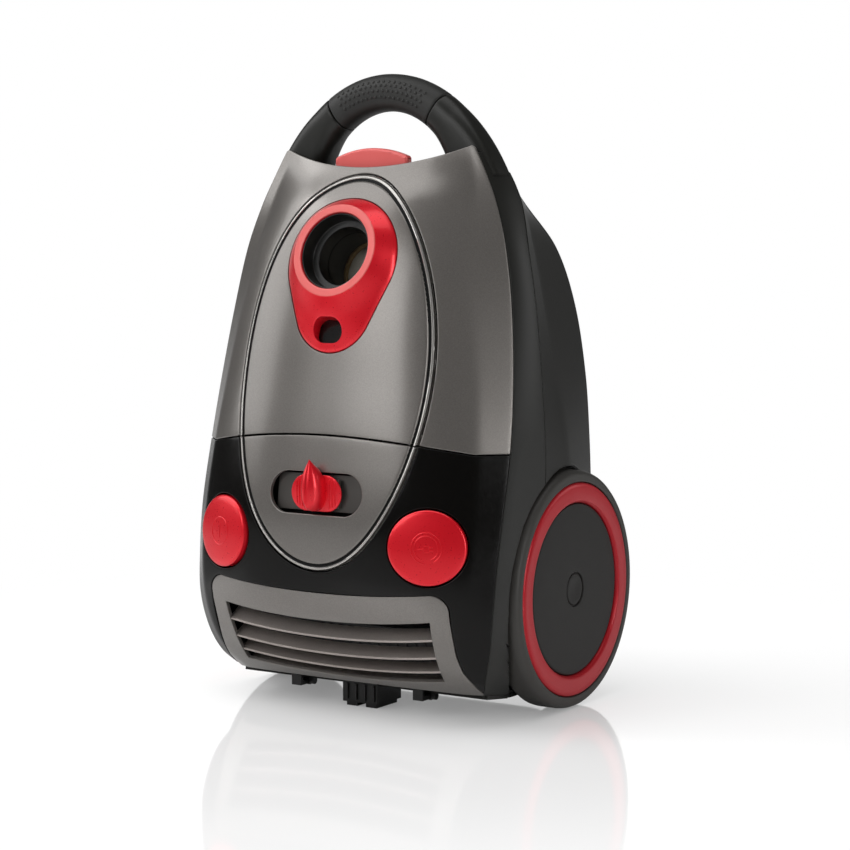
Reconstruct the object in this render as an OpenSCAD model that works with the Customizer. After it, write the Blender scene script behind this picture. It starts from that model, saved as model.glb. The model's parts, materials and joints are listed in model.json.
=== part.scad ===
// Canister vacuum cleaner, standing on its rear end as it is stored.
// X runs to the right, Y from the lid towards the belly, Z up. Millimetres.

/* [Body] */
// Width over the side frames at the wheels
body_w = 250; // [246:1:254]
// Wall of the outer mouldings
wall = 3; // [2.6:0.1:3.2]
// Gap between neighbouring mouldings
seam = 0.8; // [0.6:0.1:1.1]
// Radius of the belly's long corners
belly_r = 22; // [16:1:28]
// Top of the bridge behind the lid, where the handle legs stand
bridge_z = 371; // [369:0.5:372]

/* [Lid] */
// Height of the lid's lower edge on the centre line
split_z = 194.5; // [193:0.5:196]
// How far that edge falls towards the creases
split_drop = 10.5; // [9:0.5:12]
// Height of the lid's top edge on the centre line
lid_top_z = 375; // [374:0.5:378]
// How far the top edge rises towards the corners
lid_top_rise = 14; // [10:1:16]
// Half width of the oval centre panel
oval_half_w = 79; // [74:1:82]
// Half height of the oval centre panel
oval_half_h = 134.5; // [130:0.5:138]
// Height of the oval's centre
oval_z = 236; // [234:0.5:238]
// Width of the groove round the oval
groove_w = 1.6; // [1:0.1:2.2]
// How far the oval stands proud of the lid
oval_rise = 0.6; // [0.2:0.1:1]

/* [Inlet] */
// Height of the centre of the hose collar
inlet_z = 318; // [316:0.5:320]
// Depth of the collar's face in Y
inlet_y = -79.5; // [-81:0.5:-78]
// Lean of the collar's face
inlet_tilt = 18; // [16:0.5:20]
// Bore of the hose socket
hose_bore_d = 40; // [36:0.5:42]
// Outer diameter of the collar's face
collar_d = 65; // [62:1:68]
// Inner diameter of the collar
collar_bore_d = 54; // [52:1:56]
// Length of the hose socket behind the collar's face
socket_len = 44; // [38:1:46]
// Width of the dust indicator's window
indicator_w = 22; // [20:0.5:23]

/* [Controls] */
// Width of the round buttons
button_w = 53.4; // [50:0.2:54]
// Height of the round buttons
button_h = 49.8; // [47:0.2:51]
// Travel of the round buttons
button_travel = 4; // [3:0.5:5]
// Distance of the buttons from the centre line
button_x = 84; // [82:0.5:85]
// Height of the buttons' centres
button_z = 123; // [121:0.5:125]
// Length of the slider's slot
slot_len = 75; // [72:1:78]
// Height of the slider's slot
slot_h = 28.5; // [27:0.5:30]
// Height of the slot's centre
slot_z = 155; // [153:0.5:157]
// Width of the slider's body
slider_w = 41; // [38:1:43]
// Width of the lid's latch button
latch_w = 60; // [54:1:64]
// Travel of the latch button
latch_travel = 5; // [4:0.5:6]

/* [Handle] */
// Height over the handle
handle_top_z = 440; // [438:1:442]
// Thickness of the hand grip seen from the front
grip_t = 26; // [25:0.5:28]
// Depth of the handle in Y
handle_d = 26; // [24:0.5:27]
// Middle of the handle in Y
handle_y = -10; // [-10.5:0.5:-9]

/* [Wheels] */
// Diameter of the big rear tyres
tyre_d = 166; // [160:1:168]
// Middle of the big wheels in Y
axle_y = 31; // [29:0.5:33]
// Outer faces of the big wheels from the centre line
wheel_x = 128; // [127:0.5:130]
// Width of a big tyre
tyre_w = 23; // [20:0.5:24]
// Tyre showing outside the red ring
tyre_wall = 8.7; // [8:0.1:10]
// Width of the red ring
ring_w = 14.1; // [12:0.1:15]
// Clearance round the tyre in its arch
arch_gap = 3; // [2:0.5:4]
// Radius of the wheel axles
axle_r = 6; // [5:0.5:7]
// Diameter of the caster's wheel
caster_d = 20; // [18:0.5:21]

/* [Exhaust] */
// Height of the grille panel's top edge on the centre line
grille_z = 87; // [85:0.5:89]
// Rise of that edge towards the corners
grille_rise = 5.5; // [4:0.5:7]
// Half width of the grille panel at its top
grille_top_x = 96; // [93:1:97]
// Half width of the grille panel at its foot
grille_foot_x = 102; // [99:1:103]
// Thickness of a louvre
louvre_t = 1.8; // [1.4:0.1:2.4]
// Distance of the hooks from the centre line
hook_x = 51; // [48:1:54]

/* [Hidden] */
spread = body_w / 250;
wheel_out = wheel_x * spread;
ring_d = tyre_d - 2 * tyre_wall;
ring_bore_d = ring_d - 2 * ring_w;
fit = 0.3;
running = 0.05;
base_z = 15.5;
crown_z = 392;
tyre_r = tyre_d / 2;
arch_r = tyre_r + arch_gap;
well_x = wheel_out - tyre_w - 2.5;
well_wall = 2.4;
far = 220;
pin_r = 2;
hinge_y = -87.5;
hinge_z = split_z - 9;
bulkhead_z = 172;
bulkhead_t = 3;
motor_y = -4;
motor_r = 58;
reel_z = 102;
reel_r = 64;
button_yaw = 20;
button_lift = 4;
brake_y = -45;
brake_z = 154;
hook_y = -42;
hook_z = 13;
knuckle_r = 3.2;
caster_z = 302;
slider_y = -102;
latch_y = -31;

// ---- The body's form: smooth curves through a few stations ----
// Each station holds its height; the front line's y; then x and y of the front crease, the lid's
// edge, the frame's seam, the flank's crease and the belly's corner; and the belly's y.
form = [
    [15.5, -55, 87, -51.5, 97, -46, 106, -16, 101, 17, 82, 61, 69],
    [20, -61, 91, -57, 102, -51.5, 110, -16, 105, 22, 88, 70, 79],
    [32, -74, 98, -69, 110, -63, 117, -16, 113, 30, 94, 84, 91],
    [50, -87, 103.5, -79, 117, -69.5, 122.5, -15, 117.5, 36, 97.5, 94, 99.5],
    [75, -98.5, 107, -85.5, 121.5, -73, 124.8, -12, 120, 39, 99.5, 100, 103.5],
    [105, -103.5, 109, -86, 123.2, -71, 125, -10, 120.5, 40, 100, 101.5, 105],
    [140, -104, 109.5, -80, 124.6, -65.5, 125, -9.5, 120.5, 37, 100, 102, 105],
    [184, -98, 108, -71.5, 124.4, -55, 125, -9, 119.3, 31, 99.5, 100, 104],
    [230, -89.5, 103.5, -62.5, 121.3, -46, 122.8, -10, 115.6, 23, 98.5, 95, 100.5],
    [280, -80, 96, -54, 115.2, -38, 118, -10, 110.8, 14, 94.5, 85.5, 92],
    [320, -69.5, 89.5, -45, 107.5, -33, 110.5, -8, 105, 9, 92.5, 61, 69.5],
    [350, -57.5, 83, -35, 97.5, -29, 100.5, 0, 98.5, 5, 91.5, 19, 28],
    [372, -42, 78, -29, 87, -26.5, 90.8, -1, 88.5, 2, 84, 5, 8],
    [392, -30, 73, -25.5, 76, -25, 79, -8, 77, -4, 74, -1, 1]];
levels = [base_z, 19, 24, 31, 42, 58, 76, 98, 122, 146, 170, 195, 220, 245, 270, 295, 318, 336, 350,
          361, 372, 382, 392];
front_steps = [0, 0.3, 0.5, 0.65, 0.78, 0.9, 1];
corner_steps = [30, 60, 90];

function station(z, i = 0) = i >= len(form) - 2 || z < form[i + 1][0] ? i : station(z, i + 1);
function chord(i, j, c) = (form[j][c] - form[i][c]) / (form[j][0] - form[i][0]);
function slope(i, c) = chord(max(i - 1, 0), min(i + 1, len(form) - 1), c);
function hermite(a, b, ma, mb, t) =
    (2 * t * t * t - 3 * t * t + 1) * a + (t * t * t - 2 * t * t + t) * ma
    + (3 * t * t - 2 * t * t * t) * b + (t * t * t - t * t) * mb;
function raw(z, c) =
    let (i = station(z), h = form[i + 1][0] - form[i][0])
    hermite(form[i][c], form[i + 1][c], h * slope(i, c), h * slope(i + 1, c),
            (z - form[i][0]) / h);
function line_y(z, c) = raw(min(max(z, base_z), crown_z), c);
function line_x(z, c) = raw(min(max(z, base_z), crown_z), c) * spread;
function front_y(z) = line_y(z, 1);
function crease(z) = [line_x(z, 2), line_y(z, 3)];
function edge(z) = [line_x(z, 4), line_y(z, 5)];
function frame_seam(z) = [line_x(z, 6), line_y(z, 7)];
function flank(z) = [line_x(z, 8), line_y(z, 9)];
function corner(z) = [line_x(z, 10), line_y(z, 11)];
function belly_y(z) = line_y(z, 12);
// y of the front surface at any x and z
function surface_y(x, z) =
    let (a = crease(z), b = edge(z), u = abs(x))
    u <= a[0] ? front_y(z) + (a[1] - front_y(z)) * pow(u / a[0], 3)
    : a[1] + (b[1] - a[1]) * (u - a[0]) / (b[0] - a[0]);

function half_outline(z) =
    let (f = front_y(z), a = crease(z), k = corner(z))
    concat([for (s = front_steps) [a[0] * s, f + (a[1] - f) * pow(s, 3)]],
           [edge(z), frame_seam(z), flank(z), k],
           [for (t = corner_steps)
               [k[0] - belly_r * (1 - cos(t)), k[1] + (belly_y(z) - k[1]) * sin(t)]]);
function outline(z) =
    let (h = half_outline(z), n = len(h))
    concat(h, [for (i = [n - 1:-1:1]) [-h[i][0], h[i][1]]]);
function unit(v) = v / norm(v);
function left_of(v) = unit([-v[1], v[0]]);
function pull_in(p, t) =
    [for (i = [0:len(p) - 1])
        let (n = len(p), u = left_of(p[i] - p[(i + n - 1) % n]), v = left_of(p[(i + 1) % n] - p[i]))
        p[i] + t * (u + v) / (1 + u * v)];
function at_height(p, z) = [for (q = p) [q[0], q[1], z]];
function inner_height(z, t) =
    t <= 0 ? z : base_z + t + (z - base_z) * (crown_z - base_z - 2 * t) / (crown_z - base_z);

// Solid through a stack of rings that turn anticlockwise seen from above
module loft(rings) {
    n = len(rings[0]);
    m = len(rings);
    sides = [for (k = [0:m - 2], i = [0:n - 1])
        [k * n + i, (k + 1) * n + i, (k + 1) * n + (i + 1) % n, k * n + (i + 1) % n]];
    polyhedron(points = [for (r = rings, p = r) p],
               faces = concat([[for (i = [0:n - 1]) i]], sides,
                              [[for (i = [n - 1:-1:0]) (m - 1) * n + i]]));
}

// One moulding made of freeform surfaces
module moulding() { resize([0, 0, 0]) children(); }

// The body's form, pulled in by t
module skin(t) {
    intersection() {
        loft([for (z = levels)
            let (h = inner_height(z, t)) at_height(pull_in(outline(h), t), h)]);
        above_base(t);
    }
}
// The underside rises a little towards the front
function underside(y) = base_z + max(0, (-16 - y) * 0.107);
module above_base(t) {
    rotate([90, 0, 90]) translate([0, 0, -far]) linear_extrude(2 * far)
        polygon([[-far, underside(-far) + t], [-16, base_z + t], [far, base_z + t], [far, 2 * far],
                 [-far, 2 * far]]);
}
module shell() {
    difference() {
        skin(0);
        skin(wall);
    }
}
// Everything between two curves that give y at each height
module zone(rows) {
    loft([for (r = rows) at_height([[-far, r[1]], [far, r[1]], [far, r[2]], [-far, r[2]]], r[0])]);
}
zone_levels = concat([-20], levels, [crown_z + 20]);
module before_edge(gap = 0) { zone([for (z = zone_levels) [z, -far, edge(z)[1] - gap]]); }
module frame_zone(lo, hi) {
    zone([for (z = zone_levels) [z, edge(z)[1] + lo, frame_seam(z)[1] - hi]]);
}
module behind_frame() { zone([for (z = zone_levels) [z, frame_seam(z)[1], far]]); }
module slab(lo, hi) { translate([-far, -far, lo]) cube([2 * far, 2 * far, hi - lo]); }
// Prism along Y over an outline drawn in X and Z
module prism(y0 = -far, y1 = far) {
    translate([0, y1, 0]) rotate([90, 0, 0]) linear_extrude(y1 - y0) children();
}
module both_sides() {
    children();
    mirror([1, 0, 0]) children();
}

// ---- The lid's split line and outline ----
function split_at(x) =
    split_z - split_drop * pow(min(abs(x), crease(split_z)[0]) / crease(split_z)[0], 2);
// The lid's lower edge is bevelled round the hinge, so that it turns past the panel below
function bevel(x) =
    let (dy = surface_y(x, split_at(x)) - hinge_y, dz = split_at(x) - hinge_z)
    dy < 0 && dz > 0 ? -dy / dz : 0;
split_steps = [for (s = [-12:12]) s / 12];
module below_split(drop, bevelled) {
    span = far;
    rings = [for (s = split_steps)
        let (x = s * span * 0.64, z = split_at(x) - drop, y = surface_y(min(abs(x), 110 * spread), z),
             rise = bevelled ? bevel(x) * (wall + 1.6) : 0)
        [[x, -far, -20], [x, -far, z], [x, y - 0.5, z - (bevelled ? bevel(x) * 0.5 : 0)],
         [x, y + wall + 1.6, z + rise], [x, far, z + rise], [x, far, -20]]];
    sweep(rings);
}
module sweep(rings) {
    n = len(rings[0]);
    m = len(rings);
    sides = [for (k = [0:m - 2], i = [0:n - 1])
        [k * n + i, k * n + (i + 1) % n, (k + 1) * n + (i + 1) % n, (k + 1) * n + i]];
    polyhedron(points = [for (r = rings, p = r) p],
               faces = concat([[for (i = [n - 1:-1:0]) i]], sides,
                              [[for (i = [0:n - 1]) (m - 1) * n + i]]));
}
function lid_top_at(x) =
    lid_top_z + lid_top_rise * pow(min(abs(x), 77 * spread) / (77 * spread), 2);
top_steps = spread * [-100, -77, -64, -50, -36, -22, -8, 8, 22, 36, 50, 64, 77, 100];
module below_lid_top(drop = 0) {
    prism() polygon(concat([for (x = top_steps) [x, lid_top_at(x) - drop]],
                           [[150, lid_top_at(100) - drop], [150, 100], [-150, 100],
                            [-150, lid_top_at(100) - drop]]));
}
module lid_outline(inset) {
    heights = [for (z = [184:17:388]) z];
    offset(delta = -inset)
        polygon(concat([for (z = heights) [edge(z)[0], z]],
                       [for (i = [len(top_steps) - 2:-1:1]) [top_steps[i], lid_top_at(top_steps[i])]],
                       [for (i = [len(heights) - 1:-1:0]) [-edge(heights[i])[0], heights[i]]],
                       [for (x = [-96:24:96]) [x * spread, split_at(x * spread)]]));
}
module oval(inset) {
    translate([0, oval_z])
        scale([oval_half_w - inset, oval_half_h - inset]) circle(r = 1, $fn = 56);
}

// ---- The inlet ----
module at_inlet() { translate([0, inlet_y, inlet_z]) rotate([90 - inlet_tilt, 0, 0]) children(); }
plate_r = 43.8;
plate_v = -3.4;
tip_r = 31;
tip_v = -36.8;
plate_depth = 13.6;
window_v = -53.5;
module teardrop(grow = 0) {
    hull() {
        translate([0, plate_v]) circle(r = plate_r + grow, $fn = 48);
        translate([0, tip_v]) circle(r = tip_r + grow, $fn = 32);
    }
}
module indicator_hole(grow) {
    offset(r = 7 + grow, $fn = 32)
        square([indicator_w - 14, indicator_w * 0.84 - 14], center = true);
}
module collar_cone() {
    hull() {
        translate([0, 0, -1.5]) cylinder(r = collar_d / 2, h = 1.5, $fn = 48);
        translate([0, 0, -19]) linear_extrude(20 - plate_depth - 1) teardrop();
    }
}
module inlet_surround() {
    color("crimson") moulding() difference() {
        union() {
            at_inlet() difference() {
                collar_cone();
                hull() {
                    translate([0, 0, -6]) cylinder(r = collar_bore_d / 2 + 1.6, h = 1, $fn = 40);
                    translate([0, 0, -30]) linear_extrude(12) teardrop(-3.4);
                }
            }
            intersection() {
                at_inlet() translate([0, 0, -18]) linear_extrude(17) difference() {
                    teardrop(0.1);
                    teardrop(-3);
                }
                skin(-0.9);
            }
            at_inlet() intersection() {
                translate([0, window_v, -18.5]) linear_extrude(18) indicator_hole(2);
                collar_cone();
            }
        }
        at_inlet() translate([0, 0, -40]) cylinder(r = collar_bore_d / 2, h = 60, $fn = 64);
        at_inlet() translate([0, window_v, -40]) linear_extrude(60) indicator_hole(0);
    }
}
module inlet_socket() {
    r0 = hose_bore_d / 2;
    r1 = collar_bore_d / 2 - fit;
    color("black") at_inlet() rotate_extrude($fn = 64)
        polygon([[r0, -socket_len], [r0 + 3, -socket_len], [r0 + 3, -22], [r1 + 4, -22],
                 [r1 + 4, -plate_depth - 6 - fit], [r1, -plate_depth - 6 - fit], [r1, -1.2],
                 [r1 - 1.8, -1.2], [r1 - 2.6, -13], [r0, -13]]);
}
module indicator_window() {
    color("dimgray", 0.5) at_inlet() translate([0, window_v, -plate_depth - 4])
        linear_extrude(1.5) indicator_hole(-running);
}
flag_travel = 6;
module indicator_flag() {
    color("darkred") at_inlet() translate([0, window_v, -plate_depth - 8]) {
        translate([-3.5, -3.5, 0]) cube([7, 7, 3.4]);
        translate([-2, -2, -2.5]) cube([4, 4, 2.5]);
    }
}

// ---- Lid ----
module lid_blank(proud) {
    difference() {
        intersection() {
            difference() {
                skin(-proud);
                skin(wall);
            }
            before_edge();
            below_lid_top();
        }
        below_split(0, true);
    }
}
module lid_shell() {
    color("dimgray") moulding() difference() {
        lid_blank(0);
        prism() oval(0);
    }
}
// Oval panel with a rebated rim behind the lid, and the teardrop hole for the inlet
module lid_oval_panel() {
    color("gray") moulding() difference() {
        union() {
            intersection() {
                lid_blank(oval_rise);
                prism() oval(groove_w);
            }
            difference() {
                intersection() {
                    difference() {
                        skin(wall + 0.1);
                        skin(wall + 1.4);
                    }
                    before_edge();
                    prism() oval(-5);
                    slab(split_z + 4, far * 2);
                    below_lid_top(9.5);
                }
                below_split(-3, true);
            }
            intersection() {
                difference() {
                    skin(wall - 0.5);
                    skin(wall + 0.6);
                }
                before_edge();
                prism() oval(groove_w);
                slab(split_z + 6, lid_top_z - 10);
            }
        }
        at_inlet() translate([0, 0, -60]) linear_extrude(90) teardrop(fit);
    }
}
module lid_gasket() {
    color("black") moulding() intersection() {
        difference() {
            skin(wall + 1.5);
            skin(wall + 3.5);
        }
        prism(-far, 0) difference() {
            lid_outline(11);
            lid_outline(15);
        }
        slab(206, bridge_z - 5);
        before_edge(1);
    }
}
// Gooseneck arms that reach over the lower panel's top edge
arm_x = 32;
arm_w = 7;
module gooseneck() {
    rotate([90, 0, 90]) linear_extrude(arm_w) difference() {
        union() {
            circle(r = 4, $fn = 32);
            rotate(45) translate([0, -2.4]) square([16, 4.8]);
            intersection() {
                difference() {
                    circle(r = 16.4, $fn = 64);
                    circle(r = 11.4, $fn = 64);
                }
                polygon([[0, 0], [20, 20], [20, 30], [-13, 30], [-13, 8]]);
            }
        }
        circle(r = pin_r + running, $fn = 32);
    }
}
module lid_hinge_arms() {
    color("black") intersection() {
        both_sides() translate([arm_x, hinge_y, hinge_z]) gooseneck();
        arm_reach();
    }
}
// Where the arms meet the inside of the lid
function lid_back(z) = surface_y(arm_x + arm_w, z) + (wall + 1.4) * 1.03 + 0.06;
module arm_reach() {
    zs = [hinge_z - 10, hinge_z + 8, hinge_z + 12, hinge_z + 16, hinge_z + 20];
    rotate([90, 0, 90]) translate([0, 0, -far]) linear_extrude(2 * far)
        polygon(concat([for (z = zs) [z < split_z + 2 ? hinge_y - 8 : lid_back(z), z]],
                       [[far, hinge_z + 20], [far, hinge_z - 10]]));
}
module hinge_brackets() {
    color("dimgray") both_sides() for (x = [arm_x - 5.5, arm_x + arm_w + 0.5])
        translate([x, hinge_y, 0]) difference() {
            union() {
                translate([0, -3.4, bulkhead_z + bulkhead_t]) cube([5, 6.8, hinge_z - bulkhead_z - bulkhead_t]);
                translate([0, 0, hinge_z]) rotate([0, 90, 0]) cylinder(r = 3.6, h = 5, $fn = 32);
            }
            translate([-1, 0, hinge_z]) rotate([0, 90, 0]) cylinder(r = pin_r, h = 7, $fn = 32);
        }
}
module hinge_pins() {
    color("silver") both_sides() translate([arm_x - 6, hinge_y, hinge_z])
        rotate([0, 90, 0]) cylinder(r = pin_r, h = arm_w + 12, $fn = 32);
}

// ---- Shells of the body ----
module wheel_arch(grow, inner_x) {
    both_sides() translate([inner_x, axle_y, tyre_r]) rotate([0, 90, 0])
        cylinder(r = arch_r + grow, h = far, $fn = 64);
}
module rear_housing() {
    color("#2c2c29") moulding() difference() {
        union() {
            difference() {
                intersection() {
                    shell();
                    behind_frame();
                    slab(0, bridge_z);
                }
                wheel_arch(0, well_x);
            }
            intersection() {
                difference() {
                    wheel_arch(well_wall, well_x - well_wall);
                    wheel_arch(0, well_x);
                }
                skin(wall + 0.05);
            }
            intersection() {
                skin(wall + seam);
                slab(bridge_z - wall, bridge_z);
            }
            intersection() {
                difference() {
                    skin(wall - 0.5);
                    skin(wall + 1.5);
                }
                behind_frame();
                slab(bridge_z - 12, bridge_z);
            }
        }
        translate([0, latch_y, bridge_z]) cube([latch_w + 1, 9, 40], center = true);
        at_caster() translate([0, 0, 60]) cylinder(r = 10.4, h = 60, $fn = 48);
    }
}
// The handle is swept round an arch whose outer and inner edges are ellipses
arch_z = 290;
arch_a = 109;
hole_z = 352;
hole_a = 57;
grip_from = 53.5;
function outer_point(u) =
    let (t = 24.4 + 131.2 * u / 180)
    [arch_a * spread * cos(t), arch_z + (handle_top_z - arch_z) * sin(t)];
function inner_point(u) =
    [hole_a * spread * cos(u), hole_z + (handle_top_z - grip_t - hole_z) * sin(u)];
function rounded(c, n) = sign(c) * pow(abs(c), 2 / n);
function hoop_ring(u, shrink) =
    let (o = outer_point(u), i = inner_point(u), mid = (o + i) / 2, r = unit(o - i),
         half = norm(o - i) / 2 - shrink, deep = handle_d / 2 - shrink,
         boxy = 2.6 + 3 * max(0, 1 - min(u, 180 - u) / 45))
    [for (k = [0:15])
        let (a = -k * 22.5, p = mid + r * half * rounded(cos(a), boxy))
        [p[0], handle_y + deep * rounded(sin(a), boxy), p[1]]];
module hoop(u0, u1, shrink, steps) {
    sweep([for (s = [0:steps]) hoop_ring(u0 + (u1 - u0) * s / steps, shrink)]);
}
// The side frames run up into the handle's legs; they part at the bridge behind the lid
module side_frames() {
    color("#34342f") moulding() intersection() {
        frame_and_hoop();
        slab(0, bridge_z + fit - 0.03);
    }
}
module handle_frame() {
    color("#34342f") moulding() intersection() {
        frame_and_hoop();
        slab(bridge_z + fit, far * 3);
    }
}
module frame_and_hoop() {
    union() {
        difference() {
            intersection() {
                shell();
                frame_zone(seam, fit);
                slab(0, 384);
            }
            wheel_arch(0, well_x);
        }
        intersection() {
            union() {
                hoop(0, grip_from, 0, 7);
                hoop(180 - grip_from, 180, 0, 7);
                hoop(grip_from - 2, 182 - grip_from, wall + fit, 8);
            }
            slab(bridge_z + fit, far * 3);
        }
        difference() {
            intersection() {
                union() {
                    hoop(-16, 12, 0, 5);
                    hoop(168, 196, 0, 5);
                }
                frame_zone(seam, fit);
                slab(320, bridge_z + 2);
            }
            skin(wall);
        }
    }
}
module handle_grip() {
    color("#1c1c1c") moulding() difference() {
        hoop(grip_from + 0.4, 179.6 - grip_from, 0, 10);
        hoop(grip_from - 2, 182 - grip_from, wall, 8);
    }
}
module compartment_rim() {
    color("#232323") moulding() intersection() {
        union() {
            intersection() {
                difference() {
                    skin(wall + 3.8);
                    skin(wall + 6.8);
                }
                before_edge(-2);
                prism() difference() {
                    lid_outline(-4);
                    lid_outline(19);
                }
            }
            intersection() {
                difference() {
                    skin(wall + fit);
                    skin(wall + 6.8);
                }
                zone([for (z = zone_levels) [z, edge(z)[1] + 1.2, edge(z)[1] + 8]]);
            }
        }
        slab(205, bridge_z - wall - 1.4);
    }
}
module at_button(side) {
    x = button_x * spread;
    translate([side * x, surface_y(x, button_z) + 1.2, button_z])
        rotate([90 - button_lift, 0, side * button_yaw]) children();
}
module button_prism(grow) {
    for (side = [-1, 1]) at_button(side) translate([0, 0, -12]) linear_extrude(40)
        scale([button_w / 2 + grow, button_h / 2 + grow]) circle(r = 1, $fn = 48);
}
// Outline of the grille panel, open at its foot
module grille_outline(inset) {
    steps = [-1, -0.8, -0.6, -0.4, -0.2, 0, 0.2, 0.4, 0.6, 0.8, 1];
    top = grille_top_x * spread;
    foot = grille_foot_x * spread;
    sides = [[top + 2, 75], [top + 2, 50], [top + 3.2, 38], [foot, 24], [foot + 2, -30]];
    offset(r = 9 - inset, $fn = 32) offset(delta = -9)
        polygon(concat([for (s = steps) [s * top, grille_z + grille_rise * s * s]],
                       [for (p = sides) [p[0], p[1]]],
                       [for (i = [len(sides) - 1:-1:0]) [-sides[i][0], sides[i][1]]]));
}
module front_cover() {
    color("#161616") moulding() difference() {
        intersection() {
            shell();
            before_edge();
            below_split(seam, false);
        }
        prism() oval(0);
        button_prism(0.6);
        prism(-far, hook_y - 3) grille_outline(-seam);
    }
}
module control_panel() {
    color("dimgray") moulding() difference() {
        union() {
            intersection() {
                difference() {
                    skin(-oval_rise);
                    skin(wall);
                }
                prism() oval(groove_w);
                below_split(seam + 0.25, false);
            }
            intersection() {
                difference() {
                    skin(wall + 0.1);
                    skin(wall + 1.6);
                }
                prism() oval(-5);
                slab(94, bulkhead_z - 0.5);
            }
            intersection() {
                difference() {
                    skin(wall - 0.5);
                    skin(wall + 0.6);
                }
                prism() oval(groove_w);
                slab(104, bulkhead_z - 0.5);
            }
        }
        before_plane(0);
        prism() slot_outline(0);
        button_prism(3);
    }
}
module before_plane(y) { translate([-far, y, -far]) cube([2 * far, far, 3 * far]); }
module slot_outline(inset) {
    hull() for (side = [-1, 1]) translate([side * (slot_len - slot_h) / 2, slot_z])
        circle(d = slot_h - 2 * inset, $fn = 32);
}

// ---- Exhaust grille ----
opening_top_x = 84.5 * spread;
opening_foot_x = 82 * spread;
louvre_feet = [27, 36.7, 47, 59.7];
louvre_rises = [3.6, 4.4, 5.6, 6.4];
module grille_opening() {
    steps = [-1, -0.75, -0.5, -0.25, 0, 0.25, 0.5, 0.75, 1];
    polygon(concat([for (s = steps) [s * opening_top_x, 67.5 + grille_rise * s * s]],
                   [for (i = [len(steps) - 1:-1:0])
                       [steps[i] * opening_foot_x, 24.5 + 4.8 * steps[i] * steps[i]]]));
}
module louvre(foot, rise) {
    steps = [-1, -0.75, -0.5, -0.25, 0, 0.25, 0.5, 0.75, 1];
    reach = opening_top_x + 1;
    sweep([for (s = steps)
        let (z = foot - grille_rise * (1 - s * s), y = surface_y(s * reach, z) + 0.8)
        [[s * reach, y, z], [s * reach, y, z + louvre_t],
         [s * reach, y + 11, z + rise + louvre_t], [s * reach, y + 11, z + rise]]]);
}
module exhaust_grille() {
    color("gray") {
        moulding() {
            difference() {
                intersection() {
                    shell();
                    prism(-far, hook_y - 4) grille_outline(0);
                    before_edge();
                    slab(0, 120);
                }
                prism() grille_opening();
            }
            intersection() {
                for (i = [0:3]) louvre(louvre_feet[i], louvre_rises[i]);
                skin(0.4);
                prism() offset(delta = 1.2) grille_opening();
            }
        }
        both_sides() translate([hook_x - 4, 0, 0]) hook();
    }
}
// Hook with a round eye that clips on its pin under the body
module hook() {
    difference() {
        union() {
            translate([0, hook_y - 12, hook_z - 2]) cube([8, 12, 3.2]);
            translate([0, hook_y - 12, hook_z - 2])
                cube([8, 2.4, underside(hook_y - 12) - hook_z + 2.5]);
            translate([0, hook_y, hook_z]) rotate([0, 90, 0])
                cylinder(r = knuckle_r, h = 8, $fn = 32);
        }
        translate([-1, hook_y, hook_z]) rotate([0, 90, 0])
            cylinder(r = pin_r + running, h = 10, $fn = 32);
    }
}
module grille_ears() {
    color("black") both_sides() translate([hook_x, hook_y, hook_z]) {
        for (x = [-7.7, 4.3]) {
            translate([x, -2.6, 0]) cube([3.4, 5.2, underside(hook_y + 2.6) - hook_z]);
            translate([x, 0, 0]) rotate([0, 90, 0]) cylinder(r = 2.6, h = 3.4, $fn = 32);
        }
        translate([-7.7, 0, 0]) rotate([0, 90, 0]) cylinder(r = pin_r, h = 15.4, $fn = 32);
    }
}
module exhaust_filter() {
    color("#404040") {
        translate([0, -47.4, 24]) rotate([33, 0, 0]) {
            translate([-76 * spread, 1, 0]) cube([152 * spread, 6, 46]);
            for (k = [0:18]) translate([(-75 + 8 * k) * spread, 0, 2]) cube([4 * spread, 1, 42]);
        }
        for (x = [-66, 60]) translate([x, -47, underside(-47) + wall + 0.02]) cube([6, 4.5, 6]);
    }
}

// ---- Controls ----
module button_cap() {
    scale([button_w / 2, button_h / 2, 1]) rotate_extrude($fn = 40)
        polygon([[0, 3.6], [0.55, 2.9], [0.9, 1.8], [0.98, 1.2], [1, 0.2], [1, -4], [0.9, -4],
                 [0.9, -0.5], [0, -0.5]]);
}
stem_r = 5;
module round_button(side) {
    color("red") at_button(side) {
        moulding() button_cap();
        translate([0, 0, -24]) cylinder(r = stem_r, h = 23.5, $fn = 32);
    }
}
module on_off_button() { round_button(-1); }
module rewind_button() { round_button(1); }
module button_cups() {
    r = button_w / 2;
    color("black") for (side = [-1, 1]) at_button(side) rotate_extrude($fn = 48)
        polygon([[stem_r + running, -20], [r + 3, -20], [r + 3, -8.6], [r + 1, -8.6],
                 [r + 1, -18], [stem_r + running, -18]]);
}
// Coil spring along Z
module coil(r, wire, low, high, turns) {
    per_turn = 10;
    n = turns * per_turn;
    ring = 6;
    sweep([for (k = [0:n])
        let (a = 360 * k / per_turn, z = low + wire + (high - low - 2 * wire) * k / n)
        [for (j = [0:ring - 1])
            let (b = -360 * j / ring, q = r + wire * cos(b))
            [q * cos(a), q * sin(a), z + wire * sin(b)]]]);
}
module on_off_spring() { color("silver") at_button(-1) coil(8.5, 0.7, -17.8, -0.8, 4); }
module rewind_spring() { color("silver") at_button(1) coil(8.5, 0.7, -17.8, -0.8, 4); }
module latch_spring() {
    color("silver") translate([0, latch_y, 0]) coil(5, 0.7, 351.4, 359.8, 3);
}
module power_switch() {
    color("ivory") at_button(-1) {
        translate([-8, -12, -46]) cube([16, 24, 17.8]);
        for (side = [-1, 1]) translate([side * 10 - 1, -10, -46]) cube([2, 20, 26]);
        for (side = [-1, 1]) translate([side * 8.5 - 0.6, -3, -42]) cube([1.2, 6, 6]);
    }
}
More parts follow.
